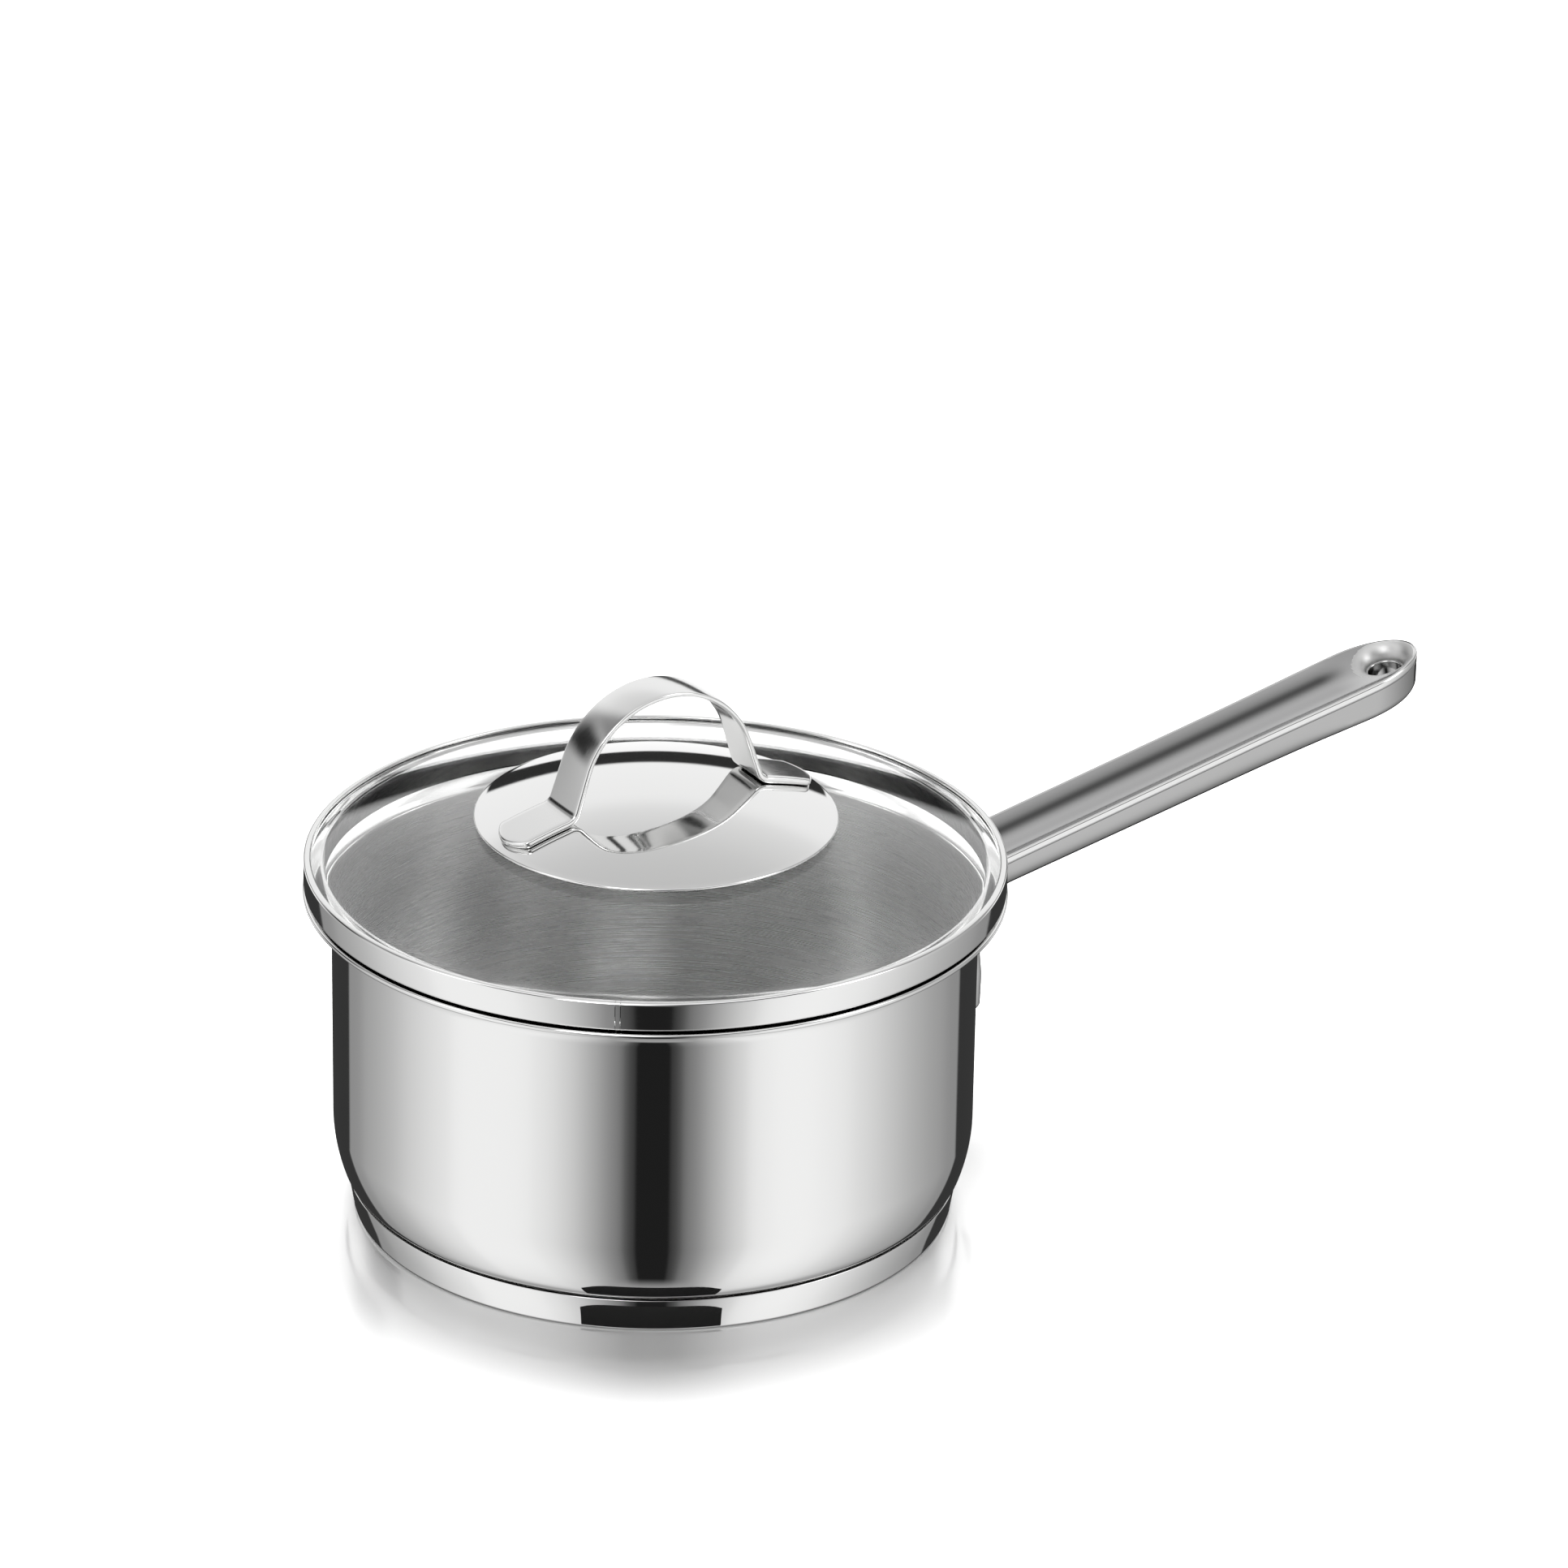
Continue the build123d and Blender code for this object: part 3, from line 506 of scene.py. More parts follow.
def bow_stations():
    """Stations along half of the strap, from the apex to the toe.

    Up to the foot, a station is ("arch", point, outward normal, 0). On the foot it is
    ("foot", share of the foot's length, None, turn of the rounded toe).
    """
    stations = []
    for degrees in np.linspace(90, BOW_LEG_ANGLE, 40):
        a = math.radians(degrees)
        normal = np.array([math.cos(a), math.sin(a)])
        stations.append(("arch", np.array([0, BOW_ARCH_Z]) + mid_arch * normal, normal, 0.0))
    for t in np.linspace(0, 1, 8)[1:]:
        stations.append(("arch", shoulder + (leg_end - shoulder) * t, beside, 0.0))
    start = math.atan2(-beside[1], -beside[0])
    end = math.atan2(-to_centre[1], -to_centre[0])
    if start < 0:
        start += 2 * math.pi
    if end < 0:
        end += 2 * math.pi
    for t in np.linspace(0, 1, 12)[1:]:
        a = start + (end - start) * t
        radial = np.array([math.cos(a), math.sin(a)])
        stations.append(("arch", bend_centre + BEND_R * radial, -radial, 0.0))
    for t in np.linspace(0, 1, 14)[1:]:
        stations.append(("foot", t, None, 0.0))
    for degrees in (15, 30, 45, 60, 75, 90):
        stations.append(("foot", 1.0, None, math.radians(degrees)))
    return stations


def strap_loop(half_width, thick, edge, dish=0.0):
    """Closed outline of the strap's section as (across, out) pairs, starting on its outer face."""
    half = thick / 2
    loop = []
    for t in np.linspace(-1, 1, 13):
        loop.append((t * (half_width - edge), half + dish * (1 - t * t)))
    loop += [(half_width - edge + edge * math.sin(a), half - edge + edge * math.cos(a))
             for a in np.linspace(0, HALF_PI, 6)[1:]]
    loop += [(half_width - edge + edge * math.cos(a), -half + edge - edge * math.sin(a))
             for a in np.linspace(0, HALF_PI, 6)]
    for t in np.linspace(1, -1, 9)[1:]:
        loop.append((t * (half_width - edge), -half))
    loop += [(-half_width + edge - edge * math.sin(a), -half + edge - edge * math.cos(a))
             for a in np.linspace(0, HALF_PI, 6)[1:]]
    loop += [(-half_width + edge - edge * math.cos(a), half - edge + edge * math.sin(a))
             for a in np.linspace(0, HALF_PI, 6)[:-1]]
    return loop


def bow_ring(station, side):
    """The section's points at one station, on one side of the bow."""
    kind, where, normal, cap = station
    ring = []
    pull = BOW_EDGE * (1 - math.sin(cap)) if cap else BOW_EDGE
    thin = BOW_EDGE * (1 - math.cos(cap))
    if kind == "arch":
        spread = smooth((abs(where[0]) - WIDEN_X) / WIDEN_LENGTH)
        half_width = BOW_HALF_WIDTH + (BOW_FOOT_HALF_WIDTH - BOW_HALF_WIDTH) * spread
        crown = BOW_CROWN * (1 - spread)
        for across, out in strap_loop(half_width, BOW_THICK - crown, BOW_EDGE - crown / 2, crown / 2):
            x, z = where + normal * out
            ring.append((side * x, across, z))
        return ring
    toe_edge = max(BOW_EDGE - thin, 0.02)
    for across, out in strap_loop(BOW_FOOT_HALF_WIDTH - thin, BOW_THICK - 2 * thin, toe_edge):
        share = (across / BOW_FOOT_HALF_WIDTH) ** 2
        toe_x = BOW_FOOT_END_X - (BOW_FOOT_END_X - BOW_FOOT_CORNER_X) * share - pull
        toe_angle = math.acos(toe_x / mid_foot)
        angle = foot_start_angle + (toe_angle - foot_start_angle) * where
        radius = mid_foot + out
        ring.append((side * radius * math.cos(angle), across, DISC_CENTRE_Z + radius * math.sin(angle)))
    return ring


half = [bow_ring(s, 1) for s in bow_stations()]
other = [bow_ring(s, -1) for s in bow_stations()[1:]]
rings = list(reversed(other)) + half
count = len(rings[0])
points = [p for ring in rings for p in ring]
faces = []
for i in range(len(rings) - 1):
    for j in range(count):
        k = (j + 1) % count
        faces.append((i * count + j, i * count + k, (i + 1) * count + k, (i + 1) * count + j))
faces.append(tuple(reversed(range(count))))
faces.append(tuple(range((len(rings) - 1) * count, len(rings) * count)))
piece("lid_bow_strap", points, faces, [polished_bow], "lid", ["lid_bow"], sharp=50)


# ---- long handle --------------------------------------------------------------------------------

handle_low, handle_high = box_mm("handle_lower_shell")
TIP_X = handle_high.x
TONGUE_FOOT_Z = handle_low.z
SLOPE_X = 110.0
RIM_Z = 79.0
UNDER_Z = 69.3
UNDER_SLOPE = 0.2116
HALF_WIDTH = 10.7
TIP_HALF_WIDTH = 11.3
TIP_WIDEST_X = 211.0
WIDEN_START_X = 172.0
PATCH_X = 204.0
BACK_X = 82.0
RIM_ROUND = 0.8
TROUGH_DEPTH = 1.8
SEAM_DEPTH = 1.95
SEAM_HALF_GAP = 0.12
SEAM_GROOVE = 0.28
UNDER_ROUND = 4.0
TIP_ROUND = 3.4
UNDER_RISE = 6.4
TIP_RISE = 3.2
RISE_FADE_X = 186.0
RISE_FADE_LENGTH = 26.0
EYE_X = 220.5
EYE_R = 4.5
FUNNEL_FOOT_R = 5.0
FUNNEL_R = 8.6
FUNNEL_DEPTH = 4.6
TONGUE_X = 94.0
TONGUE_FOOT_X = 93.0
TONGUE_HALF_WIDTH = 8.0
TONGUE_ROUND = 1.4
TONGUE_CORNER = 3.2
TONGUE_NIP = 1.4
slant = math.atan(RIM_SLOPE)
rim_dir = (math.cos(slant), math.sin(slant))
rim_normal = (-math.sin(slant), math.cos(slant))


def rim_z(x):
    """Height of the handle's rim above x."""
    return RIM_Z + RIM_SLOPE * (x - SLOPE_X)


def under_z(x):
    """Height of the handle's underside above x."""
    return UNDER_Z + UNDER_SLOPE * (x - SLOPE_X)


def half_width(x):
    """Half the handle's width above x."""
    if x <= TIP_WIDEST_X:
        widening = smooth((x - WIDEN_START_X) / (TIP_WIDEST_X - WIDEN_START_X))
        return HALF_WIDTH + (TIP_HALF_WIDTH - HALF_WIDTH) * widening
    return TIP_HALF_WIDTH * math.sqrt(max(0.0, 1 - ((x - TIP_WIDEST_X) / (TIP_X - TIP_WIDEST_X)) ** 2))


def edge_share(x, y, inset):
    """0 on the handle's middle line and 1 on its outline, drawn in by an inset."""
    if x <= TIP_WIDEST_X:
        return abs(y) / (half_width(x) - inset)
    return math.hypot((x - TIP_WIDEST_X) / (TIP_X - TIP_WIDEST_X - inset), y / (TIP_HALF_WIDTH - inset))


def edge_distance(x, y):
    """About how far a point in plan is from the outline."""
    if x <= TIP_WIDEST_X:
        return half_width(x) - abs(y)
    share = edge_share(x, y, 0.0)
    if share < 1e-6:
        return TIP_HALF_WIDTH
    return math.hypot(x - TIP_WIDEST_X, y) * (1 / share - 1)


def eye_distance(x, y):
    """How far a point of the top is from the middle of the hanging eye."""
    return math.hypot((x - EYE_X) / math.cos(slant), y)


def top_point(x, y):
    """A point of the trough, with the funnel of the hanging eye pressed into it."""
    share = min(edge_share(x, y, RIM_ROUND), 1.0)
    drop = -TROUGH_DEPTH * (1 - share**2)
    rho = eye_distance(x, y)
    if rho < FUNNEL_R:
        sink = min((FUNNEL_R - rho) / (FUNNEL_R - FUNNEL_FOOT_R), 1.0)
        drop -= (FUNNEL_DEPTH + drop) * (1 - math.sqrt(1 - sink**2))
    return (x + drop * rim_normal[0], y, rim_z(x) + drop * rim_normal[1])


def under_round(x):
    """Width of the rounded edge of the underside."""
    return UNDER_ROUND + (TIP_ROUND - UNDER_ROUND) * smooth((x - PATCH_X) / (TIP_X - PATCH_X - 4))


def under_rise(x):
    """Height of the rounded edge of the underside."""
    return UNDER_RISE + (TIP_RISE - UNDER_RISE) * smooth((x - RISE_FADE_X) / RISE_FADE_LENGTH)


def under_point(x, y):
    """A point of the rounded underside."""
    radius = under_round(x)
    inward = min(max(edge_distance(x, y), 0.0), radius)
    rise = under_rise(x) * (1 - math.sqrt(1 - (1 - inward / radius) ** 2))
    return (x, y, under_z(x) + rise)


# The side from the rim down, as (inset, depth) pairs: the rim's round and the seam's groove.
SIDE_PROFILE = [(RIM_ROUND * (1 - math.sin(a)), RIM_ROUND * (1 - math.cos(a)))
                for a in np.linspace(0, HALF_PI, 7)]
SIDE_PROFILE += [(0.0, SEAM_DEPTH - 0.45), (0.0, SEAM_DEPTH - SEAM_HALF_GAP), (SEAM_GROOVE, SEAM_DEPTH)]
UPPER_SIDE_ROWS = len(SIDE_PROFILE)
SIDE_PROFILE += [(0.0, SEAM_DEPTH + SEAM_HALF_GAP), (0.0, SEAM_DEPTH + 0.6)]

TOP_SHARES = np.sin(np.linspace(-HALF_PI, HALF_PI, 33))
ROUND_ANGLES = np.linspace(0, HALF_PI, 13)


def bar_section(head, foot, width, trough):
    """One section of the bar or tongue as its top, right side, underside and left side.

    The section runs from a head point to a foot point on the middle plane.
    """
    head, foot = np.array(head), np.array(foot)
    radius = min(UNDER_ROUND, 0.85 * width, TONGUE_ROUND + (UNDER_ROUND - TONGUE_ROUND) * trough)
    length = np.linalg.norm(foot - head)
    down = (foot - head) / length
    top, right_side, bottom = [], [], []
    for share in TOP_SHARES:
        drop = -TROUGH_DEPTH * trough * (1 - share**2)
        x, z = head + drop * np.array(rim_normal)
        top.append((x, share * (width - RIM_ROUND), z))
    for inset, depth in SIDE_PROFILE:
        x, z = head + down * depth
        right_side.append((x, width - inset, z))
    rise = min(radius * under_rise(foot[0]) / UNDER_ROUND, length - depth - 0.4)
    for t in (0.35, 0.7):
        x, z = head + down * (depth + (length - rise - depth) * t)
        right_side.append((x, width, z))
    for a in ROUND_ANGLES:
        x, z = head + down * (length - rise * (1 - math.sin(a)))
        bottom.append((x, width - radius * (1 - math.cos(a)), z))
    inner = width - radius
    middle = [(foot[0], inner * t, foot[1]) for t in np.linspace(1, -1, 13)[1:-1]]
    mirror = [(x, -y, z) for x, y, z in reversed(bottom)]
    left_side = [(x, -y, z) for x, y, z in reversed(right_side)]
    return top, right_side, bottom + middle + mirror, left_side


def corner_arc(corner, before, after, radius, steps):
    """Points of the round at a corner between two straight lines."""
    corner, before, after = (np.array(p, float) for p in (corner, before, after))
    a = (before - corner) / np.linalg.norm(before - corner)
    b = (after - corner) / np.linalg.norm(after - corner)
    half_angle = math.acos(float(a @ b)) / 2
    cut = radius / math.tan(half_angle)
    centre = corner + (a + b) / np.linalg.norm(a + b) * radius / math.sin(half_angle)
    first, last = corner + a * cut - centre, corner + b * cut - centre
    result = []
    for t in np.linspace(0, 1, steps):
        ray = first * (1 - t) + last * t
        result.append(tuple(centre + ray / np.linalg.norm(ray) * radius))
    return result


ELBOW_R = 9.0
HEEL_R = 3.0
SHOULDER_Z = 66.0
WAIST_Z = 42.0
WAIST_FADE = 8.0
elbow = (TONGUE_X, under_z(TONGUE_X))
tongue_foot = (TONGUE_FOOT_X, TONGUE_FOOT_Z)
elbow_arc = corner_arc(elbow, tongue_foot, (PATCH_X, under_z(PATCH_X)), ELBOW_R, 16)
heel_arc = corner_arc(tongue_foot, (BACK_X, TONGUE_FOOT_Z), elbow, HEEL_R, 14)


def front_width(z):
    """Half the tongue's width at a height."""
    centre_z = TONGUE_FOOT_Z + TONGUE_CORNER
    if z < centre_z:
        reach = math.sqrt(max(TONGUE_CORNER**2 - (centre_z - z) ** 2, 0.0))
        return TONGUE_HALF_WIDTH - TONGUE_CORNER + reach
    waist = TONGUE_HALF_WIDTH - TONGUE_NIP * smooth((z - WAIST_Z) / WAIST_FADE)
    above_waist = z - WAIST_Z - WAIST_FADE
    return waist + (HALF_WIDTH - waist) * smooth(above_waist / (SHOULDER_Z - WAIST_Z - WAIST_FADE))


sections = []
for x, z in heel_arc[1:]:
    sections.append(((BACK_X, z), (x, z), front_width(z), 0.0))
face_top = elbow_arc[0]
for t in np.linspace(0, 1, 12)[1:]:
    z = heel_arc[-1][1] + (face_top[1] - heel_arc[-1][1]) * t
    x = heel_arc[-1][0] + (face_top[0] - heel_arc[-1][0]) * t
    sections.append(((BACK_X, z), (x, z), front_width(z), 0.0))
back_rise = rim_z(BACK_X) - face_top[1]
steps = len(elbow_arc) - 1
end_x = elbow_arc[-1][0]
path_length = back_rise + (end_x - BACK_X)
for i in range(1, steps + 1):
    travelled = path_length * i / steps
    if travelled <= back_rise:
        head = (BACK_X, face_top[1] + travelled)
    else:
        head = (BACK_X + travelled - back_rise, rim_z(BACK_X + travelled - back_rise))
    share = smooth((travelled - back_rise + 1.0) / 3.0)
    sections.append((head, elbow_arc[i], front_width(elbow_arc[i][1]), share))
for x in np.linspace(end_x, PATCH_X, 40)[1:]:
    sections.append(((x, rim_z(x)), (x, under_z(x)), half_width(x), 1.0))

upper_points, upper_faces, lower_points, lower_faces = [], [], [], []


def add_grid(store_points, store_faces, rows):
    """Adds a grid of points, row by row, as faces."""
    start, count = len(store_points), len(rows[0])
    for row in rows:
        store_points.extend(row)
    for i in range(len(rows) - 1):
        for j in range(count - 1):
            a = start + i * count + j
            store_faces.append((a, a + 1, a + count + 1, a + count))


upper_rows, lower_rows = [], []
for head, foot, width, share in sections:
    top, right, bottom, left = bar_section(head, foot, width, share)
    upper_rows.append(left[-UPPER_SIDE_ROWS:] + top[1:-1] + right[:UPPER_SIDE_ROWS])
    lower_rows.append(right[UPPER_SIDE_ROWS - 1:] + bottom + left[:-UPPER_SIDE_ROWS + 1])
add_grid(upper_points, upper_faces, upper_rows)
add_grid(lower_points, lower_faces, lower_rows)
lower_faces.append(tuple(range(len(lower_rows[0]))))

# The tip: patches that run out from the hanging eye to the outline.
tip_outline = []
for x in np.linspace(PATCH_X, TIP_WIDEST_X, 6)[:-1]:
    tip_outline.append((x, half_width(x)))
for degrees in np.linspace(90, -90, 73):
    a = math.radians(degrees)
    tip_outline.append((TIP_WIDEST_X + (TIP_X - TIP_WIDEST_X) * math.cos(a), TIP_HALF_WIDTH * math.sin(a)))
for x in np.linspace(TIP_WIDEST_X, PATCH_X, 6)[1:]:
    tip_outline.append((x, -half_width(x)))


def outline_normal(x, y):
    """Outward direction of the tip's outline in plan."""
    if x <= TIP_WIDEST_X:
        return (0.0, 1.0 if y > 0 else -1.0)
    n = np.array([(x - TIP_WIDEST_X) / (TIP_X - TIP_WIDEST_X) ** 2, y / TIP_HALF_WIDTH**2])
    return tuple(n / np.linalg.norm(n))


def radial_shares(count):
    """Shares from 0 to 1, closer together near both ends."""
    t = np.linspace(0, 1, count)
    return 0.5 * (1 - np.cos(np.pi * t))


def eye_ring(radius, x, y):
    """The point of a ring about the eye that lies towards (x, y)."""
    across = eye_distance(x, y)
    return EYE_X + (x - EYE_X) * radius / across, y * radius / across


def patch(boundary, inner_radius, surface, rings):
    """Rows of points of a surface, from a ring about the eye out to a boundary."""
    rows = []
    for share in radial_shares(rings):
        row = []
        for x, y in boundary:
            inner_x, inner_y = eye_ring(inner_radius, x, y)
            row.append(surface(inner_x + (x - inner_x) * share, inner_y + (y - inner_y) * share))
        rows.append(row)
    return rows


top_boundary = []
for x, y in tip_outline:
    nx, ny = outline_normal(x, y)
    top_boundary.append((x - nx * RIM_ROUND, y - ny * RIM_ROUND))
width = half_width(PATCH_X) - RIM_ROUND
junction = [(PATCH_X, share * width) for share in TOP_SHARES]
rows = patch(top_boundary + junction, FUNNEL_FOOT_R, top_point, 40)
add_grid(upper_points, upper_faces, [row + [row[0]] for row in rows])

last_head, last_foot = (PATCH_X, rim_z(PATCH_X)), (PATCH_X, under_z(PATCH_X))
bottom = bar_section(last_head, last_foot, half_width(PATCH_X), 1.0)[2]
boundary = tip_outline + [(PATCH_X, y) for x, y, z in reversed(bottom)][1:]
rows = patch(boundary, EYE_R + 0.7, under_point, 40)
add_grid(lower_points, lower_faces, [row[::-1] for row in rows])

side_rows = []
for x, y in tip_outline:
    nx, ny = outline_normal(x, y)
    row = []
    for inset, depth in SIDE_PROFILE:
        row.append((x - nx * inset, y - ny * inset, rim_z(x) - depth))
    wall_foot = under_z(x) + under_rise(x)
    for t in (0.35, 0.7, 1.0):
        row.append((x, y, rim_z(x) - depth + (wall_foot - rim_z(x) + depth) * t))
    side_rows.append(row)
add_grid(upper_points, upper_faces, [row[:UPPER_SIDE_ROWS] for row in side_rows])
add_grid(lower_points, lower_faces, [row[UPPER_SIDE_ROWS - 1:] for row in side_rows])


def consistent(obj):
    """Joins a piece's grids and points every face outwards."""
    merge(obj, 0.004)
    work = bmesh.new()
    work.from_mesh(obj.data)
    bmesh.ops.recalc_face_normals(work, faces=work.faces)
    work.to_mesh(obj.data)
    work.free()
    obj.data.shade_smooth()
    obj.data.set_sharp_from_angle(angle=math.radians(40))
    return obj


upper = piece("handle_upper_pressing", upper_points, upper_faces,
              [trough_steel, handle_rim_steel, dimple_steel], "pot", ["handle_upper_shell"])
consistent(upper)
RIM_BAND = 1.15
RIM_BAND_DEPTH = 1.4
DIMPLE_MARGIN = 0.2
for polygon in upper.data.polygons:
    x, y, z = (c / MM for c in polygon.center)
    on_edge = edge_distance(x, y) < RIM_BAND and z > rim_z(x) - RIM_BAND_DEPTH
    in_dimple = eye_distance(x, y) < FUNNEL_R - DIMPLE_MARGIN
    polygon.material_index = 1 if on_edge else 2 if in_dimple else 0
consistent(piece("handle_lower_pressing", lower_points, lower_faces, [handle_steel_painted_dark], "pot",
                 ["handle_lower_shell"]))

TUBE_TOP_ROUND = 0.5
TUBE_WALL = 0.75
TUBE_FOOT_Z = -10.6
TUBE_FOOT_ROUND = 0.35
eye_profile = arc((EYE_R + TUBE_TOP_ROUND, -FUNNEL_DEPTH - 0.05), TUBE_TOP_ROUND, 90, 180, 6)
eye_profile += [(EYE_R, -8.0)]
eye_profile += arc((EYE_R + TUBE_FOOT_ROUND, TUBE_FOOT_Z + TUBE_FOOT_ROUND), TUBE_FOOT_ROUND, 180, 270, 5)
eye_profile += [(EYE_R + TUBE_WALL, TUBE_FOOT_Z), (EYE_R + TUBE_WALL, -FUNNEL_DEPTH)]
points, faces = lathe(eye_profile, 96)
turned_points = []
for x, y, z in points:
    turned_points.append((EYE_X + x * rim_dir[0] + z * rim_normal[0], y,
                          rim_z(EYE_X) + x * rim_dir[1] + z * rim_normal[1]))
piece("handle_eye_tube", turned_points, faces, [handle_steel_painted_dark], "pot", ["hanging_eye"])


# ---- flange on the wall -------------------------------------------------------------------------

flange_low, flange_high = box_mm("handle_flange")
FLANGE_R = WALL_R + 1.5
FLANGE_EDGE = 0.5
FLANGE_SINK = 0.15
FLANGE_MARGIN = 1.5
FLANGE_TOP_ROUND = 4.5
FLANGE_SIDE_Z = 70.0
FLANGE_CENTRE_Z = 55.0
foot_w = TONGUE_HALF_WIDTH + FLANGE_MARGIN
foot_r = TONGUE_CORNER + FLANGE_MARGIN
side_w = flange_high.y
outline = arc((side_w - FLANGE_TOP_ROUND, flange_high.z - FLANGE_TOP_ROUND), FLANGE_TOP_ROUND, 90, 0, 8)
outline.append((side_w, FLANGE_SIDE_Z))
for t in np.linspace(0, 1, 9):
    z = SHOULDER_Z + (WAIST_Z - SHOULDER_Z) * t
    outline.append((foot_w + (side_w - foot_w) * smooth(1 - t), z))
outline += arc((foot_w - foot_r, flange_low.z + foot_r), foot_r, 0, -90, 10)
outline += [(-y, z) for y, z in reversed(outline)][1:]
levels = [(1.0, WALL_R - FLANGE_SINK), (1.0, FLANGE_R - FLANGE_EDGE)]
for a in np.linspace(0, HALF_PI, 5)[1:]:
    levels.append((-FLANGE_EDGE * (1 - math.cos(a)), FLANGE_R - FLANGE_EDGE * (1 - math.sin(a))))
levels += [(0.7, FLANGE_R), (0.35, FLANGE_R)]
rows = []
for amount, radius in levels:
    row = []
    for y, z in outline:
        if amount > 0:
            share = amount
        else:
            share = 1 + amount / math.hypot(y, z - FLANGE_CENTRE_Z)
        yy, zz = y * share, FLANGE_CENTRE_Z + (z - FLANGE_CENTRE_Z) * share
        row.append((math.sqrt(radius**2 - yy**2), yy, zz))
    rows.append(row)
points, faces = [], []
add_grid(points, faces, rows)
points.append((FLANGE_R, 0.0, FLANGE_CENTRE_Z))
last = len(rows[0]) * (len(rows) - 1)
for j in range(len(rows[0]) - 1):
    faces.append((last + j, last + j + 1, len(points) - 1))
consistent(piece("handle_wall_flange", points, faces, [handle_steel_painted_dark], "pot", ["handle_flange"]))


# ---- carried-over CAD nodes ---------------------------------------------------------------------

carried = {
    "base_core": aluminium,
    "lid_stud": plain_steel,
    "lid_washer": plain_steel,
    "lid_cap_nut": polished_bow,
    "upper_gasket": silicone,
    "lower_gasket": silicone,
}
for node, material in carried.items():
    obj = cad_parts[node]
    obj.data.materials.clear()
    obj.data.materials.append(material)


# ---- floor --------------------------------------------------------------------------------------

floor_mesh = bpy.data.meshes.new("floor")
FLOOR_HALF = 9.0
corners = [(x * FLOOR_HALF, y * FLOOR_HALF, 0) for x, y in ((-1, -1), (1, -1), (1, 1), (-1, 1))]
floor_mesh.from_pydata(corners, [], [(0, 1, 2, 3)])
floor = bpy.data.objects.new("floor", floor_mesh)
floor.location.z = -0.00005
bpy.context.scene.collection.objects.link(floor)
floor_nodes = Nodes("glossy_white_floor")
floor_nodes.tree.nodes.remove(floor_nodes.shader)
matt = floor_nodes.add("ShaderNodeBsdfDiffuse", Color=(0.92, 0.92, 0.92, 1))
gloss = floor_nodes.add("ShaderNodeBsdfGlossy", Color=(1, 1, 1, 1), Roughness=0.12)
mix = floor_nodes.add("ShaderNodeMixShader")
where = floor_nodes.add("ShaderNodeTexCoord").outputs["Object"]
length = floor_nodes.add("ShaderNodeVectorMath", operation="LENGTH")
floor_nodes.link(where, length.inputs[0])
fade = floor_nodes.add("ShaderNodeMapRange", interpolation_type="SMOOTHSTEP")
for name, value in (("From Min", 0.072), ("From Max", 0.138), ("To Min", 0.38), ("To Max", 0.0)):
    fade.inputs[name].default_value = value
floor_nodes.link(length.outputs["Value"], fade.inputs["Value"])
floor_nodes.link(fade.outputs[0], mix.inputs[0])
floor_nodes.link(matt.outputs[0], mix.inputs[1])
floor_nodes.link(gloss.outputs[0], mix.inputs[2])
floor_nodes.link(mix.outputs[0], floor_nodes.tree.nodes["Material Output"].inputs["Surface"])
floor_mesh.materials.append(floor_nodes.material)
floor.visible_glossy = False


# The contact shadow in front, which only the foot of the pan mirrors.
PHOTOGRAPHER_AZIMUTH = -120.0
shade_points = []
SHADE_NEAR_R = 76.5
SHADE_FAR_R = 87.5
SHADE_NEAR_ANGLE = 13.2
SHADE_FAR_ANGLE = 14.6
SHADE_CORNER = 3.0
SHADE_STEPS = 24
SHADE_Z = -1.0
for t in np.linspace(-1, 1, SHADE_STEPS + 1):
    for radius, half_angle in ((SHADE_NEAR_R, SHADE_NEAR_ANGLE),
                               (SHADE_FAR_R - SHADE_CORNER * t**6, SHADE_FAR_ANGLE)):
        a = math.radians(PHOTOGRAPHER_AZIMUTH + half_angle * t)
        shade_points.append((radius * math.cos(a) * MM, radius * math.sin(a) * MM, SHADE_Z * MM))
shade_mesh = bpy.data.meshes.new("contact_shade")
shade_mesh.from_pydata(shade_points, [],
                       [(2 * i, 2 * i + 1, 2 * i + 3, 2 * i + 2) for i in range(SHADE_STEPS)])
shade_nodes = Nodes("contact_shade")
shade_nodes.set(Base_Color=(0.012, 0.012, 0.012, 1), Roughness=0.9)
shade_mesh.materials.append(shade_nodes.material)
shade = bpy.data.objects.new("contact_shade", shade_mesh)
bpy.context.scene.collection.objects.link(shade)
shade.visible_camera = False
shade.visible_diffuse = False
shade.visible_shadow = False
shade.visible_transmission = False


# ---- light --------------------------------------------------------------------------------------

# The studio is a ring of soft boxes about the pot, written as light from each direction. Azimuths
# are in degrees from the photographer's side, positive to the right.
WORLD_GAIN = 0.99
DIFFUSE_CUT = 0.55
world = bpy.data.worlds.new("studio")
bpy.context.scene.world = world
world.use_nodes = True
tree = world.node_tree
tree.nodes.clear()


def wire(a, b):
    tree.links.new(a, b)


def calc(operation, a, b=None, clamp=False):
    node = tree.nodes.new("ShaderNodeMath")
    node.operation = operation
    node.use_clamp = clamp
    for socket, value in zip(node.inputs, (a, b)):
        if isinstance(value, (int, float)):
            socket.default_value = value
        elif value is not None:
            wire(value, socket)
    return node.outputs[0]


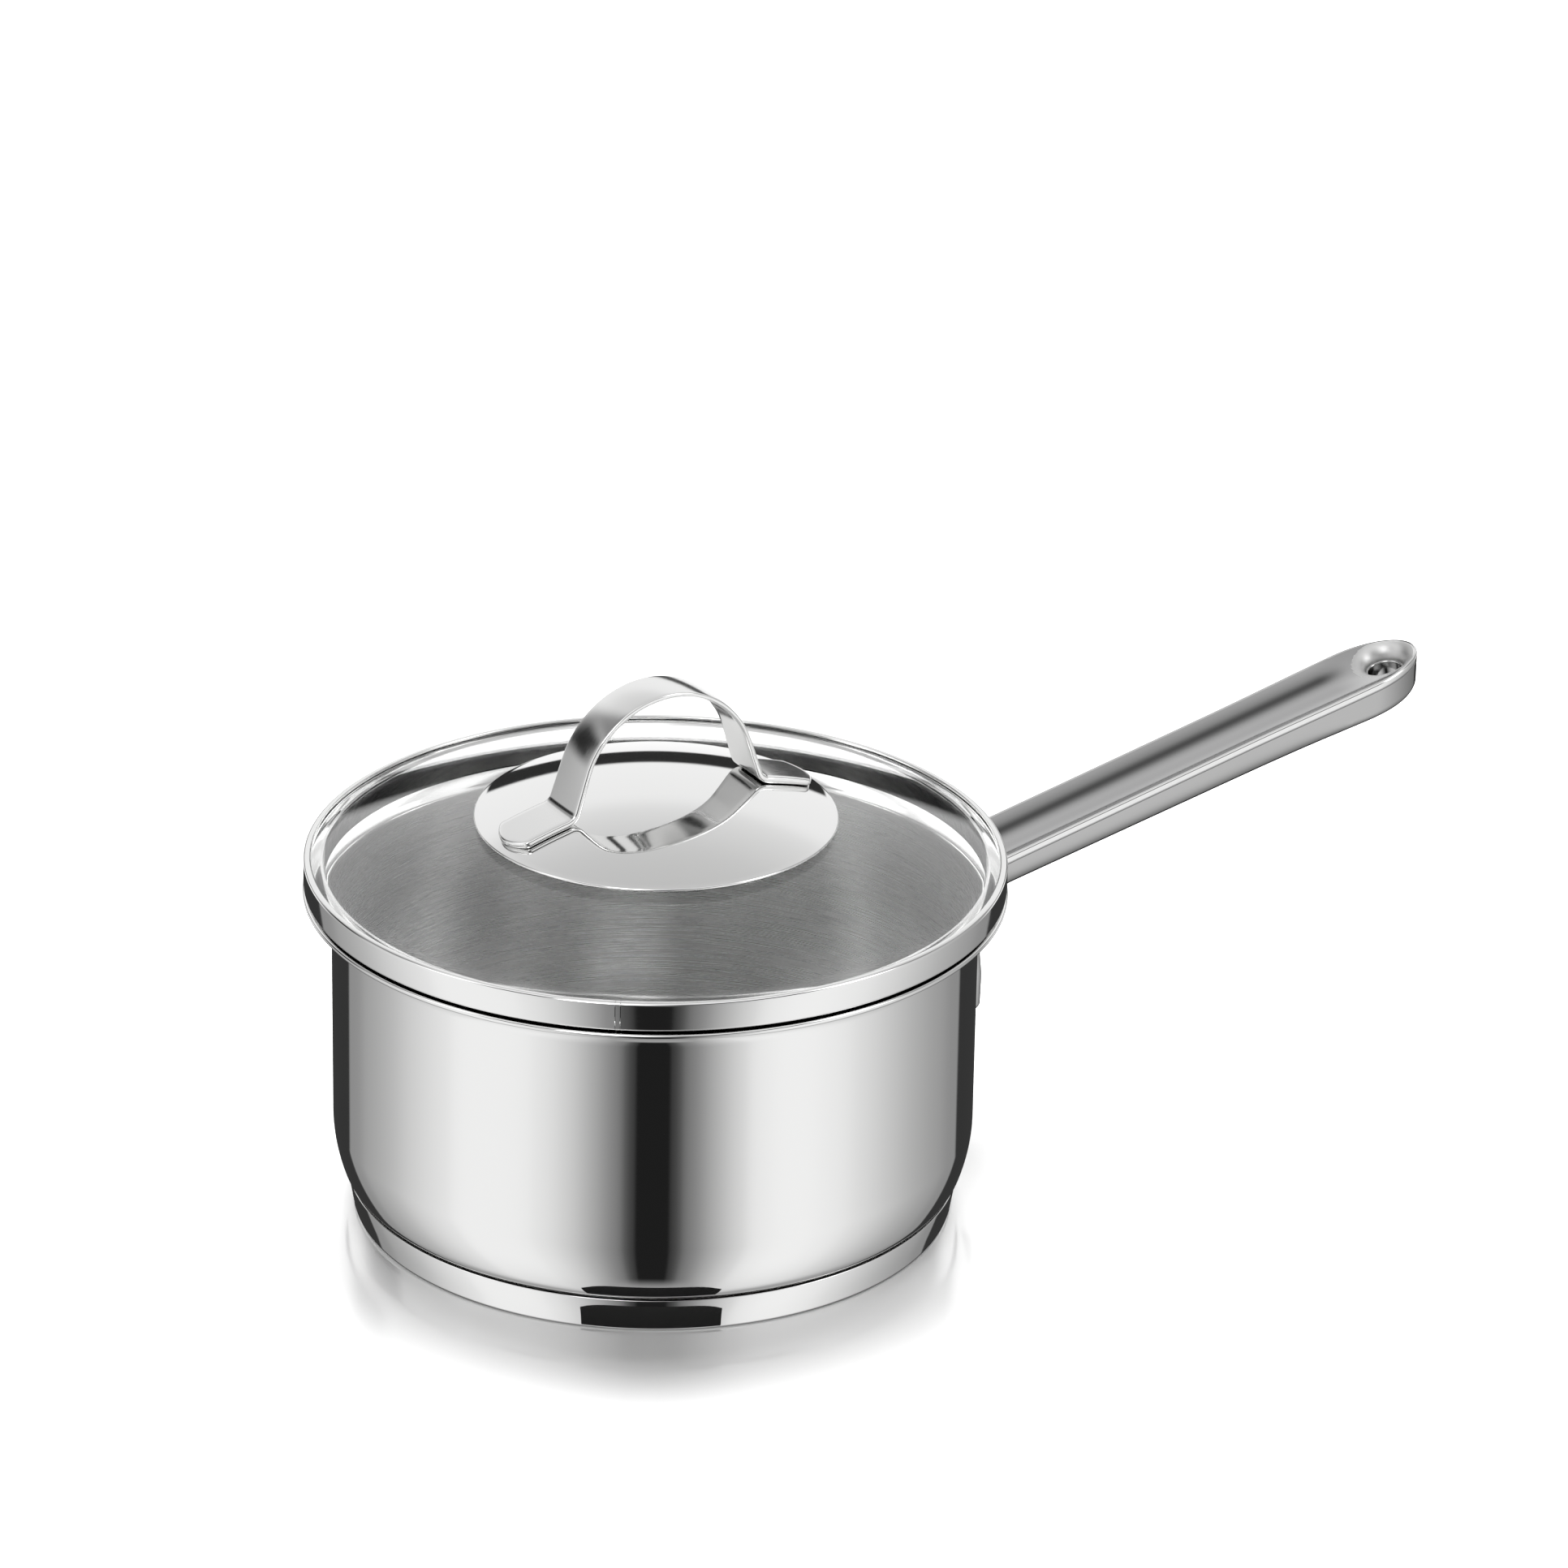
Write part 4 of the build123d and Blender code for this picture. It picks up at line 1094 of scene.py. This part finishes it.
def ramp(value, stops):
    """Light level along a value, from a few stops, joined smoothly."""
    low, high = stops[0][0], stops[-1][0]
    peak = max(level for at, level in stops)
    node = tree.nodes.new("ShaderNodeFloatCurve")
    curve = node.mapping.curves[0]
    node.mapping.extend = "HORIZONTAL"
    while len(curve.points) < len(stops):
        curve.points.new(0.5, 0.5)
    for point, (at, level) in zip(curve.points, stops):
        point.location = ((at - low) / (high - low), level / peak)
        point.handle_type = "AUTO_CLAMPED"
    node.mapping.update()
    scaled = tree.nodes.new("ShaderNodeMapRange")
    scaled.inputs["From Min"].default_value = low
    scaled.inputs["From Max"].default_value = high
    wire(value, scaled.inputs["Value"])
    wire(scaled.outputs[0], node.inputs["Value"])
    return calc("MULTIPLY", node.outputs[0], peak)


def step(value, low, high):
    node = tree.nodes.new("ShaderNodeMapRange")
    node.interpolation_type = "SMOOTHSTEP"
    node.inputs["From Min"].default_value = low
    node.inputs["From Max"].default_value = high
    wire(value, node.inputs["Value"])
    return node.outputs[0]


def blend(share, a, b):
    """a where the share is 0 and b where it is 1."""
    difference = calc("SUBTRACT", b, a)
    return calc("ADD", a, calc("MULTIPLY", share, difference))


coordinates = tree.nodes.new("ShaderNodeTexCoord").outputs["Generated"]
turn = tree.nodes.new("ShaderNodeVectorRotate")
turn.rotation_type = "Z_AXIS"
turn.inputs["Angle"].default_value = math.radians(-PHOTOGRAPHER_AZIMUTH)
wire(coordinates, turn.inputs["Vector"])
parts = tree.nodes.new("ShaderNodeSeparateXYZ")
wire(turn.outputs[0], parts.inputs[0])
to_front, to_side, upward = parts.outputs
azimuth = calc("MULTIPLY", calc("ARCTAN2", to_side, to_front), 180 / math.pi)
off_front = calc("ABSOLUTE", azimuth)
elevation = calc("MULTIPLY", calc("ARCSINE", upward), 180 / math.pi)

# The walls of light below the horizon: (azimuth, level), left of the photographer first.
FRONT_GAP = 6.0
low_ring = ramp(azimuth, [
    (-180, 0.30), (-142, 0.30), (-124, 0.42), (-110, 0.55), (-96, 0.75), (-80, 0.94), (-66, 1.06),
    (-52, 1.05), (-42, 0.96), (-32, 0.78), (-22, 0.50), (-12, 0.22), (0, 0.00), (12, 0.20), (22, 0.50),
    (32, 0.81), (42, 1.03), (52, 1.07), (64, 1.03), (80, 0.86), (96, 0.65), (110, 0.49), (124, 0.38),
    (142, 0.29), (180, 0.29)
])
low_light = calc("MULTIPLY", low_ring, step(calc("SUBTRACT", off_front, FRONT_GAP), -0.8, 0.8))
low_light = blend(step(off_front, 139.5, 142), low_light, 0.025)
to_nadir = ramp(elevation, [(-90, 0.45), (-75, 0.60), (-60, 0.86), (-50, 0.97), (-40, 1.0), (0, 1.0)])
low_light = calc("MULTIPLY", low_light, to_nadir)
low_light = blend(step(elevation, -52, -64), low_light, calc("MAXIMUM", low_light, 0.40))
low_light = calc("ADD", low_light, 0.015)
back_card = blend(step(off_front, 120, 136), low_light, 1.08)
near_floor = blend(step(elevation, -21, -18), low_light, back_card)
# Above the horizon there are soft boxes in front and an even wash behind.
back_wash = ramp(elevation, [(0, 1.05), (28, 1.03), (36, 0.88), (44, 0.78), (55, 0.68), (90, 0.60)])
front_boxes = ramp(azimuth, [
    (-180, 0.90), (-150, 0.90), (-136, 0.50), (-120, 0.28), (-104, 0.30), (-94, 1.00), (-80, 1.80),
    (-68, 1.10), (-56, 0.14), (-38, 0.12), (-32, 4.20), (-20, 4.80), (-6, 2.60), (6, 0.50), (16, 0.10),
    (58, 0.10), (67, 2.20), (75, 4.80), (86, 4.00), (97, 0.60), (112, 0.28), (140, 0.90), (180, 0.90)
])
low_sky = blend(step(elevation, 27, 35), calc("MAXIMUM", low_light, 0.10), front_boxes)
low_sky = blend(step(off_front, 128, 150), low_sky, back_wash)
high_light = blend(step(elevation, 48, 60), low_sky, 1.05)
high_light = blend(step(off_front, 128, 150), high_light, back_wash)
# A dark flag on the left, and a dark line above the card behind.
flag = calc("MULTIPLY", step(calc("ABSOLUTE", calc("ADD", azimuth, 117)), 16, 5),
            step(calc("ABSOLUTE", calc("SUBTRACT", elevation, 16)), 15, 5))
high_light = blend(flag, high_light, 0.02)
dark_line = calc("MULTIPLY", step(elevation, 10.5, 8.5), step(off_front, 128, 140))
above = blend(dark_line, high_light, 0.03)
# Light that comes in through the lid stands in three upright patches on the brushed inside.
ray = tree.nodes.new("ShaderNodeLightPath")
inside_boxes = ramp(azimuth, [
    (-180, 1.00), (-150, 2.60), (-112, 2.40), (-100, 1.50), (-92, 3.20), (-72, 3.20), (-60, 0.35),
    (-14, 0.25), (-4, 3.20), (12, 4.40), (26, 3.40), (38, 0.25), (62, 0.30), (74, 1.80), (88, 1.60),
    (100, 1.20), (112, 2.40), (150, 2.60), (180, 1.00)
])
inside_light = blend(step(elevation, 4, 16), above, inside_boxes)
inside_light = blend(step(off_front, 150, 166), inside_light, above)
above = blend(calc("GREATER_THAN", ray.outputs["Transmission Depth"], 0.5), above, inside_light)
light_level = blend(step(elevation, -1.2, 0.2), near_floor, above)

studio = tree.nodes.new("ShaderNodeBackground")
studio.inputs["Color"].default_value = (1, 1, 1, 1)
gain = calc("SUBTRACT", WORLD_GAIN, calc("MULTIPLY", ray.outputs["Is Diffuse Ray"], DIFFUSE_CUT))
wire(calc("MULTIPLY", light_level, gain), studio.inputs["Strength"])
backdrop = tree.nodes.new("ShaderNodeBackground")
backdrop.inputs["Strength"].default_value = 1.0
backdrop.inputs["Color"].default_value = (1, 1, 1, 1)
choose = tree.nodes.new("ShaderNodeMixShader")
wire(ray.outputs["Is Camera Ray"], choose.inputs[0])
wire(studio.outputs[0], choose.inputs[1])
wire(backdrop.outputs[0], choose.inputs[2])
output = tree.nodes.new("ShaderNodeOutputWorld")
wire(choose.outputs[0], output.inputs["Surface"])

# A broad light from above and behind makes the floor white and the soft shadow in front.
SUN_ENERGY = 6.4
SUN_SPREAD = 40.0
SUN_HEIGHT = 70.0
lamp = bpy.data.lights.new("top_light", "SUN")
lamp.energy = SUN_ENERGY
lamp.angle = math.radians(SUN_SPREAD)
top_light = bpy.data.objects.new("top_light", lamp)
height = math.radians(SUN_HEIGHT)
behind = Matrix.Rotation(math.radians(PHOTOGRAPHER_AZIMUTH + 180), 4, "Z")
towards = behind @ Vector((math.cos(height), 0, math.sin(height)))
top_light.rotation_euler = towards.to_track_quat("Z", "Y").to_euler()
top_light.visible_glossy = False
top_light.visible_transmission = False
bpy.context.scene.collection.objects.link(top_light)


# ---- camera -------------------------------------------------------------------------------------

LENS = 167.7
CAMERA_TURNS = (1.092, 23.76, 1.034)
CAMERA_PLACE = (0, -1661.9, 845.3)
yaw, pitch, roll = (math.radians(turn_by) for turn_by in CAMERA_TURNS)
forward = Vector((math.sin(yaw) * math.cos(pitch), math.cos(yaw) * math.cos(pitch), -math.sin(pitch)))
right = Vector((math.cos(yaw), -math.sin(yaw), 0))
up = right.cross(forward)
tilted_right = right * math.cos(roll) + up * math.sin(roll)
tilted_up = up * math.cos(roll) - right * math.sin(roll)
axes = Matrix((tilted_right, tilted_up, -forward)).transposed().to_4x4()
camera_data = bpy.data.cameras.new("camera")
camera_data.sensor_width = 36.0
camera_data.lens = LENS
camera_data.clip_start = 0.05
camera_data.clip_end = 50.0
camera = bpy.data.objects.new("camera", camera_data)
place = Matrix.Translation(Vector(CAMERA_PLACE) * MM) @ axes
camera.matrix_world = Matrix.Rotation(math.radians(PHOTOGRAPHER_AZIMUTH + 90), 4, "Z") @ place
bpy.context.scene.collection.objects.link(camera)
bpy.context.scene.camera = camera
bpy.context.scene.view_settings.view_transform = "Standard"
